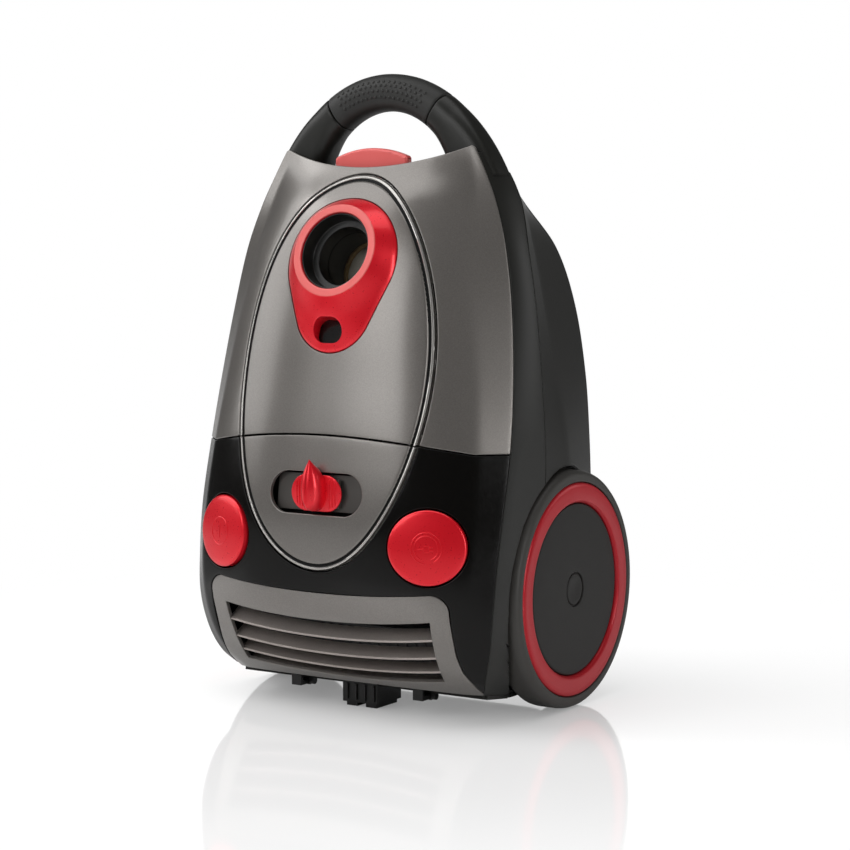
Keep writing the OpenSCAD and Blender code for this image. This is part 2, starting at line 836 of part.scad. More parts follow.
module latch_button() {
    crown_r = 75;
    color("red") translate([0, latch_y, 0]) {
        translate([0, 3.5, 0]) rotate([90, 0, 0]) linear_extrude(7.5) intersection() {
            translate([-latch_w / 2, bridge_z - 2]) square([latch_w, 30]);
            translate([0, 388 - crown_r]) circle(r = crown_r, $fn = 128);
        }
        translate([-22, -3, 360]) cube([44, 5.4, bridge_z - 362]);
        translate([-2.6, -2.6, 352]) cube([5.2, 5.2, 8]);
    }
}
module slider_tray() {
    color("#202020") difference() {
        translate([-44, -93.5, 138]) cube([88, 5.7, 33.6]);
        translate([-42, -95.2, 139.8]) cube([84, 5.4, 30]);
        translate([-22, -90, slot_z - 3]) cube([44, 4, 6]);
    }
}
module power_slider() {
    color("red") {
        hull() for (side = [-1, 1])
            translate([side * (slider_w - 25) / 2, slider_y + 2.4, slot_z]) rotate([90, 0, 0])
                cylinder(r = 12.5, h = 2.4, $fn = 40);
        hull() {
            translate([0, slider_y, slot_z - 2]) rotate([90, 0, 0]) cylinder(r = 10, h = 2, $fn = 32);
            translate([0, slider_y - 9.2, slot_z - 2]) rotate([90, 0, 0])
                cylinder(r = 5, h = 2.8, $fn = 32);
            translate([0, slider_y - 7, slot_z + 20]) rotate([90, 0, 0])
                cylinder(r = 1.4, h = 1, $fn = 16);
            translate([0, slider_y, slot_z + 13]) rotate([90, 0, 0])
                cylinder(r = 2.5, h = 1, $fn = 16);
        }
    }
}
module slider_carriage() {
    color("ivory") {
        translate([-18, slider_y + 2.4, slot_z - 10]) cube([36, 8, 20]);
        translate([-3, slider_y + 10.4, slot_z - 2.4]) cube([6, 6, 4.8]);
    }
}
module control_board() {
    color("green") {
        translate([-44, -84.6, 138]) cube([88, 1.6, 33.6]);
        for (side = [-1, 1]) translate([side * 38 - 3, -87.8, slot_z - 3]) cube([6, 3.2, 6]);
        translate([-24, -83, 142]) cube([20, 9, 12]);
        translate([8, -83, 145]) cube([14, 6, 10]);
    }
}

// ---- Inner works ----
module bulkhead() {
    color("#3a3a3a") moulding() difference() {
        intersection() {
            skin(wall + fit);
            slab(bulkhead_z, bulkhead_z + bulkhead_t);
        }
        translate([0, motor_y, 100]) cylinder(r = 30, h = 100, $fn = 48);
    }
}
module pre_motor_filter() {
    color("lightgray") {
        translate([-52, motor_y - 40, bulkhead_z + bulkhead_t]) cube([104, 80, 9]);
        translate([-55, motor_y - 43, bulkhead_z + bulkhead_t]) difference() {
            cube([110, 86, 6]);
            translate([3, 3, -1]) cube([104, 80, 8]);
        }
    }
}
module motor_case() {
    color("#8a8a8a") translate([0, motor_y, 0]) {
        difference() {
            translate([0, 0, 60]) cylinder(r = motor_r, h = 110, $fn = 64);
            translate([0, 0, 63]) cylinder(r = motor_r - 2.5, h = 104, $fn = 64);
            translate([0, 0, 160]) cylinder(r = 24, h = 20, $fn = 48);
            translate([0, 0, 55]) cylinder(r = 4 + running, h = 20, $fn = 32);
            for (a = [0:45:315]) rotate([0, 0, a]) translate([36, 0, 55])
                cylinder(r = 8, h = 12, $fn = 24);
        }
        difference() {
            translate([0, 0, 136]) cylinder(r = motor_r - 2.5, h = 4, $fn = 64);
            translate([0, 0, 130]) cylinder(r = 4 + running, h = 20, $fn = 32);
            for (a = [0:60:300]) rotate([0, 0, a]) translate([28, 0, 130])
                cylinder(r = 9, h = 12, $fn = 24);
        }
    }
}
module motor_stator() {
    color("#b06a30") translate([0, motor_y, 0]) difference() {
        union() {
            translate([0, 0, 84]) cylinder(r = 42, h = 32, $fn = 48);
            translate([0, 0, 72]) cylinder(r = 36, h = 56, $fn = 48);
            for (a = [45:90:315]) rotate([0, 0, a]) translate([36, -5, 92]) cube([19.1, 10, 14]);
        }
        translate([0, 0, 60]) cylinder(r = 25, h = 80, $fn = 48);
    }
}
module motor_rotor() {
    color("#c0c0c0") translate([0, motor_y, 0]) {
        translate([0, 0, 60.5]) cylinder(r = 4, h = 101, $fn = 32);
        translate([0, 0, 80]) cylinder(r = 24, h = 40, $fn = 48);
        translate([0, 0, 64]) cylinder(r = 12, h = 12, $fn = 32);
        translate([0, 0, 144]) cylinder(r = 50, h = 1.5, $fn = 64);
        difference() {
            translate([0, 0, 156]) cylinder(r = 50, h = 1.5, $fn = 64);
            translate([0, 0, 150]) cylinder(r = 20, h = 10, $fn = 48);
        }
        for (a = [0:40:320]) rotate([0, 0, a]) translate([20, -0.6, 145.5]) cube([29, 1.2, 10.5]);
        translate([0, 0, 145]) cylinder(r = 9, h = 10, $fn = 32);
    }
}
module motor_mounts() {
    color("black") translate([0, motor_y, 0]) {
        difference() {
            translate([0, 0, 170]) cylinder(r = 50, h = 2, $fn = 48);
            translate([0, 0, 165]) cylinder(r = 36, h = 10, $fn = 48);
        }
        difference() {
            translate([0, 0, 56]) cylinder(r = 55, h = 4, $fn = 48);
            translate([0, 0, 50]) cylinder(r = 47, h = 12, $fn = 48);
        }
    }
}
module motor_cradle() {
    color("#3a3a3a") translate([0, motor_y, 0]) {
        difference() {
            translate([0, 0, 26]) cylinder(r = 54, h = 30, $fn = 48);
            translate([0, 0, 20]) cylinder(r = 51, h = 50, $fn = 48);
            for (a = [0, 60, 120]) rotate([0, 0, a + 30]) translate([30, -12, 30]) cube([40, 24, 16]);
            translate([-60, -92, 20]) cube([120, 60, 40]);
        }
        for (a = [0, 60, 120, 180]) rotate([0, 0, a]) translate([50, -6, base_z + wall])
            cube([5, 12, 26 - base_z - wall]);
    }
}
module reel_frame() {
    color("#8a8a8a") translate([0, 0, reel_z]) {
        translate([-34, 55, base_z + wall - reel_z]) cube([68, 2.4, 60 + reel_z - base_z - wall]);
        translate([0, 55, 0]) rotate([-90, 0, 0]) cylinder(r = 6, h = 35, $fn = 32);
    }
}
module cord_reel() {
    color("#d8d8d4") translate([0, 0, reel_z]) rotate([-90, 0, 0]) difference() {
        union() {
            translate([0, 0, 58.5]) cylinder(r = reel_r, h = 2, $fn = 64);
            translate([0, 0, 59]) cylinder(r = 30, h = 30, $fn = 48);
            translate([0, 0, 87]) cylinder(r = reel_r, h = 2, $fn = 64);
        }
        translate([0, 0, 50]) cylinder(r = 6 + running, h = 60, $fn = 32);
        translate([0, 0, 61]) difference() {
            cylinder(r = 27, h = 50, $fn = 48);
            cylinder(r = 10, h = 50, $fn = 32);
        }
    }
}
brake_toe = 104;
reel_rim = reel_z + sqrt(reel_r * reel_r - 44 * 44);
module reel_brake() {
    color("#b02020") difference() {
        union() {
            translate([70, brake_y, brake_z]) rotate([0, 90, 0]) cylinder(r = 6, h = 7, $fn = 32);
            hull() {
                translate([70, brake_y, brake_z]) rotate([0, 90, 0]) cylinder(r = 4, h = 7, $fn = 24);
                translate([70, brake_y - 17, brake_z - 31]) rotate([0, 90, 0])
                    cylinder(r = 3, h = 7, $fn = 24);
            }
            translate([70, brake_y, brake_z - 4]) cube([7, brake_toe + 10, 8]);
            translate([44, brake_y + brake_toe, brake_z - 4]) cube([33, 10, 8]);
            translate([44, brake_y + brake_toe + 1, reel_rim + 0.3]) cube([6, 8, 155 - reel_rim]);
        }
        translate([60, brake_y, brake_z]) rotate([0, 90, 0])
            cylinder(r = 2.5 + running, h = 30, $fn = 32);
    }
}
module brake_bracket() {
    color("#8a8a8a") {
        translate([78, brake_y - 6, brake_z - 6]) cube([3, 12, bulkhead_z - brake_z + 6]);
        translate([69, brake_y, brake_z]) rotate([0, 90, 0]) cylinder(r = 2.5, h = 9, $fn = 32);
    }
}

// ---- Soft bag and its holder ----
// The bag's front lies flat behind its collar
function bag_front(z) =
    inlet_y + (socket_len + 6.4) * cos(inlet_tilt)
    + (z - inlet_z + (socket_len + 6.4) * sin(inlet_tilt)) * tan(inlet_tilt);
function bag_ring(z) =
    let (y = bag_front(z), a = edge(z)[0] - 18, q = flank(z), k = corner(z), b = belly_y(z))
    [[-a + 9, y], [0, y], [a - 9, y], [a, y + 9], [q[0] - 17, q[1]], [k[0] - 16, k[1] - 15],
     [k[0] - 31, b - 17], [0, b - 16], [31 - k[0], b - 17], [16 - k[0], k[1] - 15],
     [17 - q[0], q[1]], [-a, y + 9]];
module dust_bag() {
    color("beige") moulding()
        loft([for (z = [203, 222, 245, 268, 290, 308, 324, 336]) at_height(bag_ring(z), z)]);
}
module bag_collar() {
    color("burlywood") at_inlet() difference() {
        translate([-36, -40, -socket_len - 5.4]) cube([72, 76, 3]);
        translate([0, 0, -far]) cylinder(r = hose_bore_d / 2, h = far, $fn = 48);
    }
}
module bag_holder() {
    color("#444444") moulding() intersection() {
        at_inlet() difference() {
            translate([-130, -30, -socket_len - 6]) cube([260, 20, 8]);
            translate([-36.4, -41, -socket_len - 5.8]) cube([72.8, 78, 3.8]);
            translate([-32, -40, -socket_len - 9]) cube([64, 76, 20]);
        }
        skin(wall + 6.8 + fit);
    }
}

// ---- Under the body ----
module rear_foot() {
    color("black") {
        translate([-14.5, 0, 0]) rotate([90, 0, 90]) linear_extrude(29)
            polygon([[-49, 3], [-19, 3], [-19, underside(-19)], [-49, underside(-49)]]);
        for (side = [-1, 1]) translate([side * 8 - 4.5, -47, 0]) cube([9, 26, 3]);
        for (x = [-12, -4.6, 2.8, 10.2]) translate([x, -50.4, 5]) cube([2.4, 1.4, 11]);
    }
}
module base_screws() {
    color("silver") for (x = [-60, 60], y = [-2, 40])
        translate([x, y, base_z - 1.6]) cylinder(r = 3.6, h = 1.6, $fn = 24);
}

// ---- Big wheels ----
module at_axle(side) {
    translate([0, axle_y, tyre_r]) rotate([0, side * 90, 0]) children();
}
module wheel_axles() {
    color("silver") for (side = [-1, 1]) at_axle(side) {
        translate([0, 0, well_x - well_wall - 8]) cylinder(r = 12, h = 8 - fit, $fn = 32);
        translate([0, 0, well_x + fit]) cylinder(r = 11, h = tyre_in - 1 - well_x - 2 * fit, $fn = 32);
        translate([0, 0, well_x + fit]) cylinder(r = axle_r, h = wheel_out - 10 - well_x - fit, $fn = 32);
    }
}
tyre_in = wheel_out - tyre_w;
module tyre(side) {
    r = ring_d / 2 + 0.4;
    color("#222222") at_axle(side) rotate_extrude($fn = 96)
        polygon([[r, tyre_in + 2], [tyre_r - 4, tyre_in], [tyre_r - 1, tyre_in + 1.4],
                 [tyre_r, tyre_in + 4.5], [tyre_r, wheel_out - 5], [tyre_r - 1, wheel_out - 2],
                 [tyre_r - 3.6, wheel_out - 0.6], [r, wheel_out]]);
}
module hub(side) {
    r = ring_d / 2;
    color("#3a3a3a") at_axle(side) rotate_extrude($fn = 64)
        polygon([[axle_r + running, tyre_in - 1], [12, tyre_in - 1], [12, wheel_out - 12],
                 [r - 3, wheel_out - 12], [r - 3, tyre_in + 2], [r, tyre_in + 2], [r, wheel_out - 8],
                 [axle_r + running, wheel_out - 8]]);
}
module ring(side) {
    r0 = ring_bore_d / 2;
    r1 = ring_d / 2;
    color("#c2303a") at_axle(side) rotate_extrude($fn = 96)
        polygon([[r0, wheel_out - 8], [r1, wheel_out - 8], [r1, wheel_out - 0.4], [r1 - 1, wheel_out + 0.4],
                 [r0 + 1.4, wheel_out + 0.4], [r0, wheel_out - 0.8]]);
}
module disc(side) {
    r = ring_bore_d / 2 - 0.2;
    color("#2b2a28") at_axle(side) rotate_extrude($fn = 96)
        polygon([[0, wheel_out - 8], [r, wheel_out - 8], [r, wheel_out - 2], [r - 1.2, wheel_out - 1],
                 [30, wheel_out - 1.8], [10.4, wheel_out - 1.6], [10, wheel_out - 2.4], [9, wheel_out - 1.4],
                 [0, wheel_out - 2]]);
}
module left_tyre() { tyre(-1); }
module left_hub() { hub(-1); }
module left_ring() { ring(-1); }
module left_disc() { disc(-1); }
module right_tyre() { tyre(1); }
module right_hub() { hub(1); }
module right_ring() { ring(1); }
module right_disc() { disc(1); }

// ---- Front caster, on the belly near the handle ----
caster_y = axle_y + tyre_r - caster_d / 2;
caster_trail = 8;
boss_y = 88;
fork_y = boss_y + 0.4;
module at_caster() { translate([0, 0, caster_z]) rotate([-90, 0, 0]) children(); }
module caster_base() {
    color("black") at_caster() {
        translate([0, 0, 72]) cylinder(r = 10, h = boss_y - 72, $fn = 48);
        translate([0, 0, boss_y - 1]) cylinder(r = 3, h = 5.6, $fn = 32);
    }
}
module caster_fork() {
    color("black") difference() {
        union() {
            at_caster() translate([0, 0, fork_y]) cylinder(r = 9, h = 3, $fn = 48);
            both_sides() translate([6.2, fork_y + 0.5, caster_z - caster_trail - 3])
                cube([2.4, 2.5, caster_trail + 3]);
            both_sides() translate([6.2, fork_y + 0.5, caster_z - caster_trail - 3])
                cube([2.4, caster_y - fork_y - 0.5, 6]);
            both_sides() translate([6.2, caster_y, caster_z - caster_trail]) rotate([0, 90, 0])
                cylinder(r = 3, h = 2.4, $fn = 32);
            translate([-8.6, caster_y, caster_z - caster_trail]) rotate([0, 90, 0])
                cylinder(r = pin_r, h = 17.2, $fn = 32);
        }
        at_caster() translate([0, 0, boss_y]) cylinder(r = 3 + running, h = 8, $fn = 32);
    }
}
module caster_wheel() {
    color("#444444") translate([-6, caster_y, caster_z - caster_trail]) rotate([0, 90, 0])
        difference() {
            cylinder(r = caster_d / 2, h = 12, $fn = 48);
            translate([0, 0, -1]) cylinder(r = pin_r + running, h = 14, $fn = 32);
        }
}

rear_housing();
side_frames();
handle_frame();
handle_grip();
front_cover();
control_panel();
compartment_rim();
bulkhead();
hinge_brackets();
hinge_pins();
rear_foot();
exhaust_filter();
pre_motor_filter();
motor_case();
motor_stator();
motor_mounts();
motor_cradle();
reel_frame();
brake_bracket();
power_switch();
control_board();
slider_tray();
on_off_spring();
rewind_spring();
latch_spring();
button_cups();
wheel_axles();
caster_base();
base_screws();
grille_ears();
dust_bag();
bag_collar();
bag_holder();
lid_shell();
lid_oval_panel();
inlet_surround();
inlet_socket();
indicator_window();
lid_gasket();
lid_hinge_arms();
latch_button();
power_slider();
slider_carriage();
on_off_button();
rewind_button();
indicator_flag();
reel_brake();
exhaust_grille();
left_tyre();
left_hub();
left_ring();
left_disc();
right_tyre();
right_hub();
right_ring();
right_disc();
caster_fork();
caster_wheel();
motor_rotor();
cord_reel();
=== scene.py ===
# %% [markdown]
# # A canister vacuum cleaner, standing on its rear end
# This file dresses a vacuum cleaner that was first built as solid CAD parts. The CAD model gives
# every size and every joint, and this lesson gives the parts their finished shapes and surfaces.
# We load the CAD model as a fixed frame and deselect everything, because an
# operator acts on all that is selected.

# %% Load the frame
import json
import math
import bpy
import numpy as np
from mathutils import Matrix, Vector
from mathutils.geometry import delaunay_2d_cdt


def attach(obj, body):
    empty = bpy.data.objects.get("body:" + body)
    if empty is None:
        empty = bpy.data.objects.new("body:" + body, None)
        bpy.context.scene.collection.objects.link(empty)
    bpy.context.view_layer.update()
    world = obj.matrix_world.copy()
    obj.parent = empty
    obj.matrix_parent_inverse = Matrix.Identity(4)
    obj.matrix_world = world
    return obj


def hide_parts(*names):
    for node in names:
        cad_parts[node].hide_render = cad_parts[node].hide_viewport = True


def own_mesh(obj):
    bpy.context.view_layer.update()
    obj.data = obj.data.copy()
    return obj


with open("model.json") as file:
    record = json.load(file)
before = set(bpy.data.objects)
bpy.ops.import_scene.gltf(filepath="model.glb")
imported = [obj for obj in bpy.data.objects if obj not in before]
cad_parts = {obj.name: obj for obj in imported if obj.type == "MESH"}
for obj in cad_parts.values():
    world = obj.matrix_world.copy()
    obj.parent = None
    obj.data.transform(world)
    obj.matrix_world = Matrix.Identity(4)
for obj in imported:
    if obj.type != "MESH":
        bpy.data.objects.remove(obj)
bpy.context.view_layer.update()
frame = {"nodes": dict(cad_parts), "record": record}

scene = bpy.context.scene
scene.view_settings.view_transform = "Standard"
NODES = frame["nodes"]
NODE_BODY = {node: body for body, nodes in frame["record"]["behaviour"]["bodies"].items()
             for node in nodes}


def deselect():
    for thing in list(bpy.context.selected_objects):
        thing.select_set(False)


deselect()

# %% [markdown]
# ## Measures
# The mouldings share one form. The CAD source writes it as smooth curves through a few stations
# up the body, and we repeat the same formulas here, so each panel lies exactly where its CAD
# solid lies. Everything is in millimetres until it becomes a mesh.

# %% The body's form
BASE_Z, CROWN_Z, WALL, SEAM = 15.5, 392.0, 3.0, 0.8
BELLY_R = 22.0
SPLIT_Z, SPLIT_DROP = 194.5, 10.5
LID_TOP, LID_RISE = 375.0, 14.0
OVAL_W, OVAL_H, OVAL_Z, GROOVE = 79.0, 134.5, 236.0, 1.6
# height; front y; crease x, y; lid edge x, y; frame seam x, y; flank x, y; corner x, y; belly y
STATIONS = np.array([
    [15.5, -55, 87, -51.5, 97, -46, 106, -16, 101, 17, 82, 61, 69],
    [20, -61, 91, -57, 102, -51.5, 110, -16, 105, 22, 88, 70, 79],
    [32, -74, 98, -69, 110, -63, 117, -16, 113, 30, 94, 84, 91],
    [50, -87, 103.5, -79, 117, -69.5, 122.5, -15, 117.5, 36, 97.5, 94, 99.5],
    [75, -98.5, 107, -85.5, 121.5, -73, 124.8, -12, 120, 39, 99.5, 100, 103.5],
    [105, -103.5, 109, -86, 123.2, -71, 125, -10, 120.5, 40, 100, 101.5, 105],
    [140, -104, 109.5, -80, 124.6, -65.5, 125, -9.5, 120.5, 37, 100, 102, 105],
    [184, -98, 108, -71.5, 124.4, -55, 125, -9, 119.3, 31, 99.5, 100, 104],
    [230, -89.5, 103.5, -62.5, 121.3, -46, 122.8, -10, 115.6, 23, 98.5, 95, 100.5],
    [280, -80, 96, -54, 115.2, -38, 118, -10, 110.8, 14, 94.5, 85.5, 92],
    [320, -69.5, 89.5, -45, 107.5, -33, 110.5, -8, 105, 9, 92.5, 61, 69.5],
    [350, -57.5, 83, -35, 97.5, -29, 100.5, 0, 98.5, 5, 91.5, 19, 28],
    [372, -42, 78, -29, 87, -26.5, 90.8, -1, 88.5, 2, 84, 5, 8],
    [392, -30, 73, -25.5, 76, -25, 79, -8, 77, -4, 74, -1, 1]])


def along(z, column):
    """A smooth curve through one column of the stations."""
    z = np.clip(np.asarray(z, float), BASE_Z, CROWN_Z)
    h, v = STATIONS[:, 0], STATIONS[:, column]
    last = len(h) - 1
    k = np.arange(last + 1)
    low, high = np.maximum(k - 1, 0), np.minimum(k + 1, last)
    slope = (v[high] - v[low]) / (h[high] - h[low])
    i = np.clip(np.searchsorted(h, z, side="right") - 1, 0, last - 1)
    g = h[i + 1] - h[i]
    t = (z - h[i]) / g
    return ((2 * t**3 - 3 * t**2 + 1) * v[i] + (t**3 - 2 * t**2 + t) * g * slope[i]
            + (3 * t**2 - 2 * t**3) * v[i + 1] + (t**3 - t**2) * g * slope[i + 1])


def front(x, z, soft=3.0):
    """y of the front surface; the crease is rounded over a few millimetres."""
    x, z = np.asarray(x, float), np.asarray(z, float)
    f, ax, ay, bx, by = (along(z, c) for c in (1, 2, 3, 4, 5))
    u = np.abs(x)
    inner = f + (ay - f) * (np.minimum(u, ax) / ax) ** 3
    rise, fall = 3 * (ay - f) / ax, (by - ay) / (bx - ax)
    y = np.where(u <= ax, inner, ay + fall * (u - ax))
    d = np.clip(soft - np.abs(u - ax), 0, soft)
    return y + (fall - rise) * d * d / (4 * soft)


print("front of the lid at its middle:", round(float(front(0, 236)), 1), "mm")

# %% [markdown]
# ## Flat patterns
# A moulded panel is easiest to think of as a flat pattern that is pressed onto the form. We draw
# its outline and its holes in X and Z, fill them with even triangles, and then press the pattern
# onto the surface. Triangles are kept or dropped by asking whether their middle is inside each
# outline, so one tool makes every cut-out. Primitives and booleans could cut the same holes, but
# they leave long splinters that show in a glossy reflection.


# %% Patterns made of even triangles
def inside(loop, p):
    """Which of the points p lie inside a closed loop."""
    hit = np.zeros(len(p), bool)
    q = np.roll(loop, -1, axis=0)
    for a, b in zip(loop, q):
        if a[1] == b[1]:
            continue
        crosses = (a[1] > p[:, 1]) != (b[1] > p[:, 1])
        hit ^= crosses & (p[:, 0] < (b[0] - a[0]) * (p[:, 1] - a[1]) / (b[1] - a[1]) + a[0])
    return hit


def full_turn(steps):
    """Even angles all the way round."""
    return np.linspace(0, 2 * math.pi, steps, endpoint=False)


def spaced(loop, step):
    """The same closed loop with even short steps; its corners stay."""
    loop = np.asarray(loop, float)
    out = []
    for a, b in zip(loop, np.roll(loop, -1, axis=0)):
        n = max(1, int(math.ceil(np.linalg.norm(b - a) / step)))
        out += [a + (b - a) * k / n for k in range(n)]
    return np.array(out)


AT_ONCE = 64


def near(points, paths, gap):
    """Which points come closer to any path than gap; a long path is taken in short parts."""
    close = np.zeros(len(points), bool)
    for path in paths:
        for k in range(0, len(path), AT_ONCE):
            part = path[k:k + AT_ONCE]
            d = ((points[:, None, :] - part[None, :, :]) ** 2).sum(2).min(1)
            close |= d < gap * gap
    return close


# Shares of the step: from row to row, and kept free beside the outlines and the inner lines
ROW_STEP, EDGE_FREE, LINE_FREE = 0.87, 0.62, 0.45
STEP = 2.6


def pattern(keep, cut=(), step=STEP, lines=()):
    """Flat points and triangles inside every loop of keep and outside every loop of cut."""
    loops = [np.asarray(a, float) for a in list(keep) + list(cut)]
    lines = [np.asarray(a, float) for a in lines]
    low = np.max([a.min(0) for a in loops[:len(keep)]], axis=0)
    high = np.min([a.max(0) for a in loops[:len(keep)]], axis=0)
    rows = np.arange(low[1] + step / 2, high[1], step * ROW_STEP)
    grid = np.array([(x + (k % 2) * step / 2, z) for k, z in enumerate(rows)
                     for x in np.arange(low[0] + step / 4, high[0], step)])
    grid = grid[~near(grid, loops, step * EDGE_FREE)]
    if lines:
        grid = grid[~near(grid, lines, step * LINE_FREE)]
    points, edges = [], []
    for a in loops:
        n = len(points)
        points += list(a)
        edges += [(n + k, n + (k + 1) % len(a)) for k in range(len(a))]
    for a in lines:
        n = len(points)
        points += list(a)
        edges += [(n + k, n + k + 1) for k in range(len(a) - 1)]
    points += list(grid)
    out = delaunay_2d_cdt([Vector(p) for p in points], edges, [], 0, 1e-5)
    p = np.array([(v[0], v[1]) for v in out[0]])
    t = np.array([f for f in out[2] if len(f) == 3])
    middle = p[t].mean(1)
    good = np.ones(len(t), bool)
    for k, a in enumerate(loops):
        hit = inside(a, middle)
        good &= hit if k < len(keep) else ~hit
    t = t[good]
    used, flat = np.unique(t, return_inverse=True)
    return p[used], flat.reshape(-1, 3)


# %% [markdown]
# ## From pattern to moulding
# A pressed pattern is only a skin. The Solidify modifier gives it the wall's thickness inwards,
# and the Bevel modifier rounds the rim that this makes, as a mould does. Both are applied.


# %% Meshes, walls and rounded rims
def mesh_piece(name, points, faces):
    mesh = bpy.data.meshes.new(name)
    mesh.from_pydata([tuple(c * 0.001 for c in p) for p in points], [],
                     [tuple(int(i) for i in f) for f in faces])
    piece = bpy.data.objects.new(name, mesh)
    scene.collection.objects.link(piece)
    return piece


def choose(piece):
    deselect()
    piece.select_set(True)
    bpy.context.view_layer.objects.active = piece


def modify(piece, kind, **values):
    """Adds a modifier, sets it and applies it."""
    choose(piece)
    change = piece.modifiers.new(kind.title(), kind)
    for key, value in values.items():
        setattr(change, key, value)
    bpy.ops.object.modifier_apply(modifier=change.name)


def smooth(piece, angle=38):
    choose(piece)
    bpy.ops.object.shade_smooth_by_angle(angle=math.radians(angle))
    modify(piece, "WEIGHTED_NORMAL", mode="FACE_AREA", weight=70, keep_sharp=True)


def rim(piece, width=0.6, steps=3, angle=50):
    modify(piece, "BEVEL", width=width * 0.001, segments=steps, limit_method="ANGLE",
           angle_limit=math.radians(angle), use_clamp_overlap=False, miter_outer="MITER_ARC")


def wall(piece, depth):
    modify(piece, "SOLIDIFY", thickness=depth * 0.001, offset=-1.0, use_even_offset=True,
           thickness_clamp=0.0)


def sheet_piece(name, grid, thickness):
    """A sheet through a grid of points, given its wall inwards."""
    grid = np.asarray(grid, float)
    rows, count = grid.shape[:2]
    faces = [[k * count + i, k * count + i + 1, (k + 1) * count + i + 1, (k + 1) * count + i]
             for k in range(rows - 1) for i in range(count - 1)]
    piece = mesh_piece(name, grid.reshape(-1, 3), faces)
    wall(piece, thickness)
    return piece


def box_piece(name, xs, ys, zs):
    """A plain box between two values on each axis."""
    corners = [(x, y, z) for x in xs for y in ys for z in zs]
    return mesh_piece(name, corners, [(0, 1, 3, 2), (4, 6, 7, 5), (0, 4, 5, 1), (2, 3, 7, 6),
                                      (0, 2, 6, 4), (1, 5, 7, 3)])


def in_edit(piece, *steps):
    """Runs edit-mode operators on the whole piece."""
    choose(piece)
    bpy.ops.object.mode_set(mode="EDIT")
    bpy.ops.mesh.select_all(action="SELECT")
    for step in steps:
        step()
    bpy.ops.object.mode_set(mode="OBJECT")


def weld(distance=1e-6):
    return lambda: bpy.ops.mesh.remove_doubles(threshold=distance)


def outward():
    bpy.ops.mesh.normals_make_consistent(inside=False)


def settled():
    """The primitive that was just added, with its place moved into its mesh."""
    bpy.ops.object.transform_apply(location=True, rotation=True, scale=True)
    return bpy.context.object


def cut_away(piece, cutter):
    modify(piece, "BOOLEAN", operation="DIFFERENCE", solver="EXACT", object=cutter)
    bpy.data.objects.remove(cutter)


def join(name, pieces):
    deselect()
    for piece in pieces:
        piece.select_set(True)
    bpy.context.view_layer.objects.active = pieces[0]
    bpy.ops.object.join()
    pieces[0].name = name
    return pieces[0]


def done(piece, body, slot, finish, *nodes):
    """Gives a piece its finish and its body, and hides the CAD nodes that it stands for."""
    if finish is not None:
        piece.data.materials.clear()
        piece.data.materials.append(finish)
    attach(piece, body)
    if nodes:
        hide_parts(*nodes)
    print(piece.name, len(piece.data.polygons), "faces")


print("one step of a pattern:", STEP, "mm")

# %% [markdown]
# ## Finishes
# Moulded plastic is never one flat colour. Its grain scatters light, and the colour drifts a
# little over a hand's width. Lacquer has fine metal flakes instead. Many finishes share these two
# effects, so each is a shader node group that is built once. The groups put out a colour, a
# roughness and a height; the shader itself stays in each material, where its plain numbers are
# set on its own sockets.


# %% Shared effects
def link(tree, a, b):
    tree.links.new(a, b)


def new_group(name, numbers, colours, outputs):
    tree = bpy.data.node_groups.new(name, "ShaderNodeTree")
    for label in colours:
        tree.interface.new_socket(label, in_out="INPUT", socket_type="NodeSocketColor")
    for label, value in numbers.items():
        socket = tree.interface.new_socket(label, in_out="INPUT", socket_type="NodeSocketFloat")
        socket.default_value = value
    for label in outputs:
        kind = "NodeSocketColor" if label == "Color" else "NodeSocketFloat"
        tree.interface.new_socket(label, in_out="OUTPUT", socket_type=kind)
    return tree, tree.nodes.new("NodeGroupInput"), tree.nodes.new("NodeGroupOutput")


def feed(tree, socket, value):
    """Gives a socket a plain number, or the value of another socket."""
    if isinstance(value, (int, float)):
        socket.default_value = value
    else:
        link(tree, value, socket)


def math_node(tree, operation, *values):
    node = tree.nodes.new("ShaderNodeMath")
    node.operation = operation
    for socket, value in zip(node.inputs, values):
        feed(tree, socket, value)
    return node.outputs[0]


def noise(tree, scale, detail):
    node = tree.nodes.new("ShaderNodeTexNoise")
    coords = tree.nodes.new("ShaderNodeTexCoord")
    link(tree, coords.outputs["Object"], node.inputs["Vector"])
    feed(tree, node.inputs["Scale"], scale)
    node.inputs["Detail"].default_value = detail
    return node.outputs["Fac"]


def spread(tree, value, low, high, start=0.3, stop=0.7, kind="LINEAR"):
    """Maps start..stop to low..high; most of a noise lies between 0.3 and 0.7."""
    node = tree.nodes.new("ShaderNodeMapRange")
    node.interpolation_type = kind
    for label, end in (("From Min", start), ("From Max", stop), ("To Min", low),
                       ("To Max", high)):
        node.inputs[label].default_value = end
    link(tree, value, node.inputs["Value"])
    return node.outputs["Result"]


def mixed(tree, factor, a, b):
    node = tree.nodes.new("ShaderNodeMix")
    node.data_type = "RGBA"
    link(tree, factor, node.inputs["Factor"])
    link(tree, a, node.inputs["A"])
    link(tree, b, node.inputs["B"])
    return node.outputs["Result"]


grain, g_in, g_out = new_group("moulded_grain", {"Grain per metre": 900.0, "Roughness": 0.5},
                               ["Colour", "Drift colour"], ["Color", "Roughness", "Height"])
drift = spread(grain, noise(grain, 14.0, 2.0), 0.0, 1.0)
fine = noise(grain, g_in.outputs["Grain per metre"], 3.0)
link(grain, mixed(grain, drift, g_in.outputs["Colour"], g_in.outputs["Drift colour"]),
     g_out.inputs["Color"])
link(grain, math_node(grain, "ADD", spread(grain, fine, -0.03, 0.03), g_in.outputs["Roughness"]),
     g_out.inputs["Roughness"])
link(grain, fine, g_out.inputs["Height"])

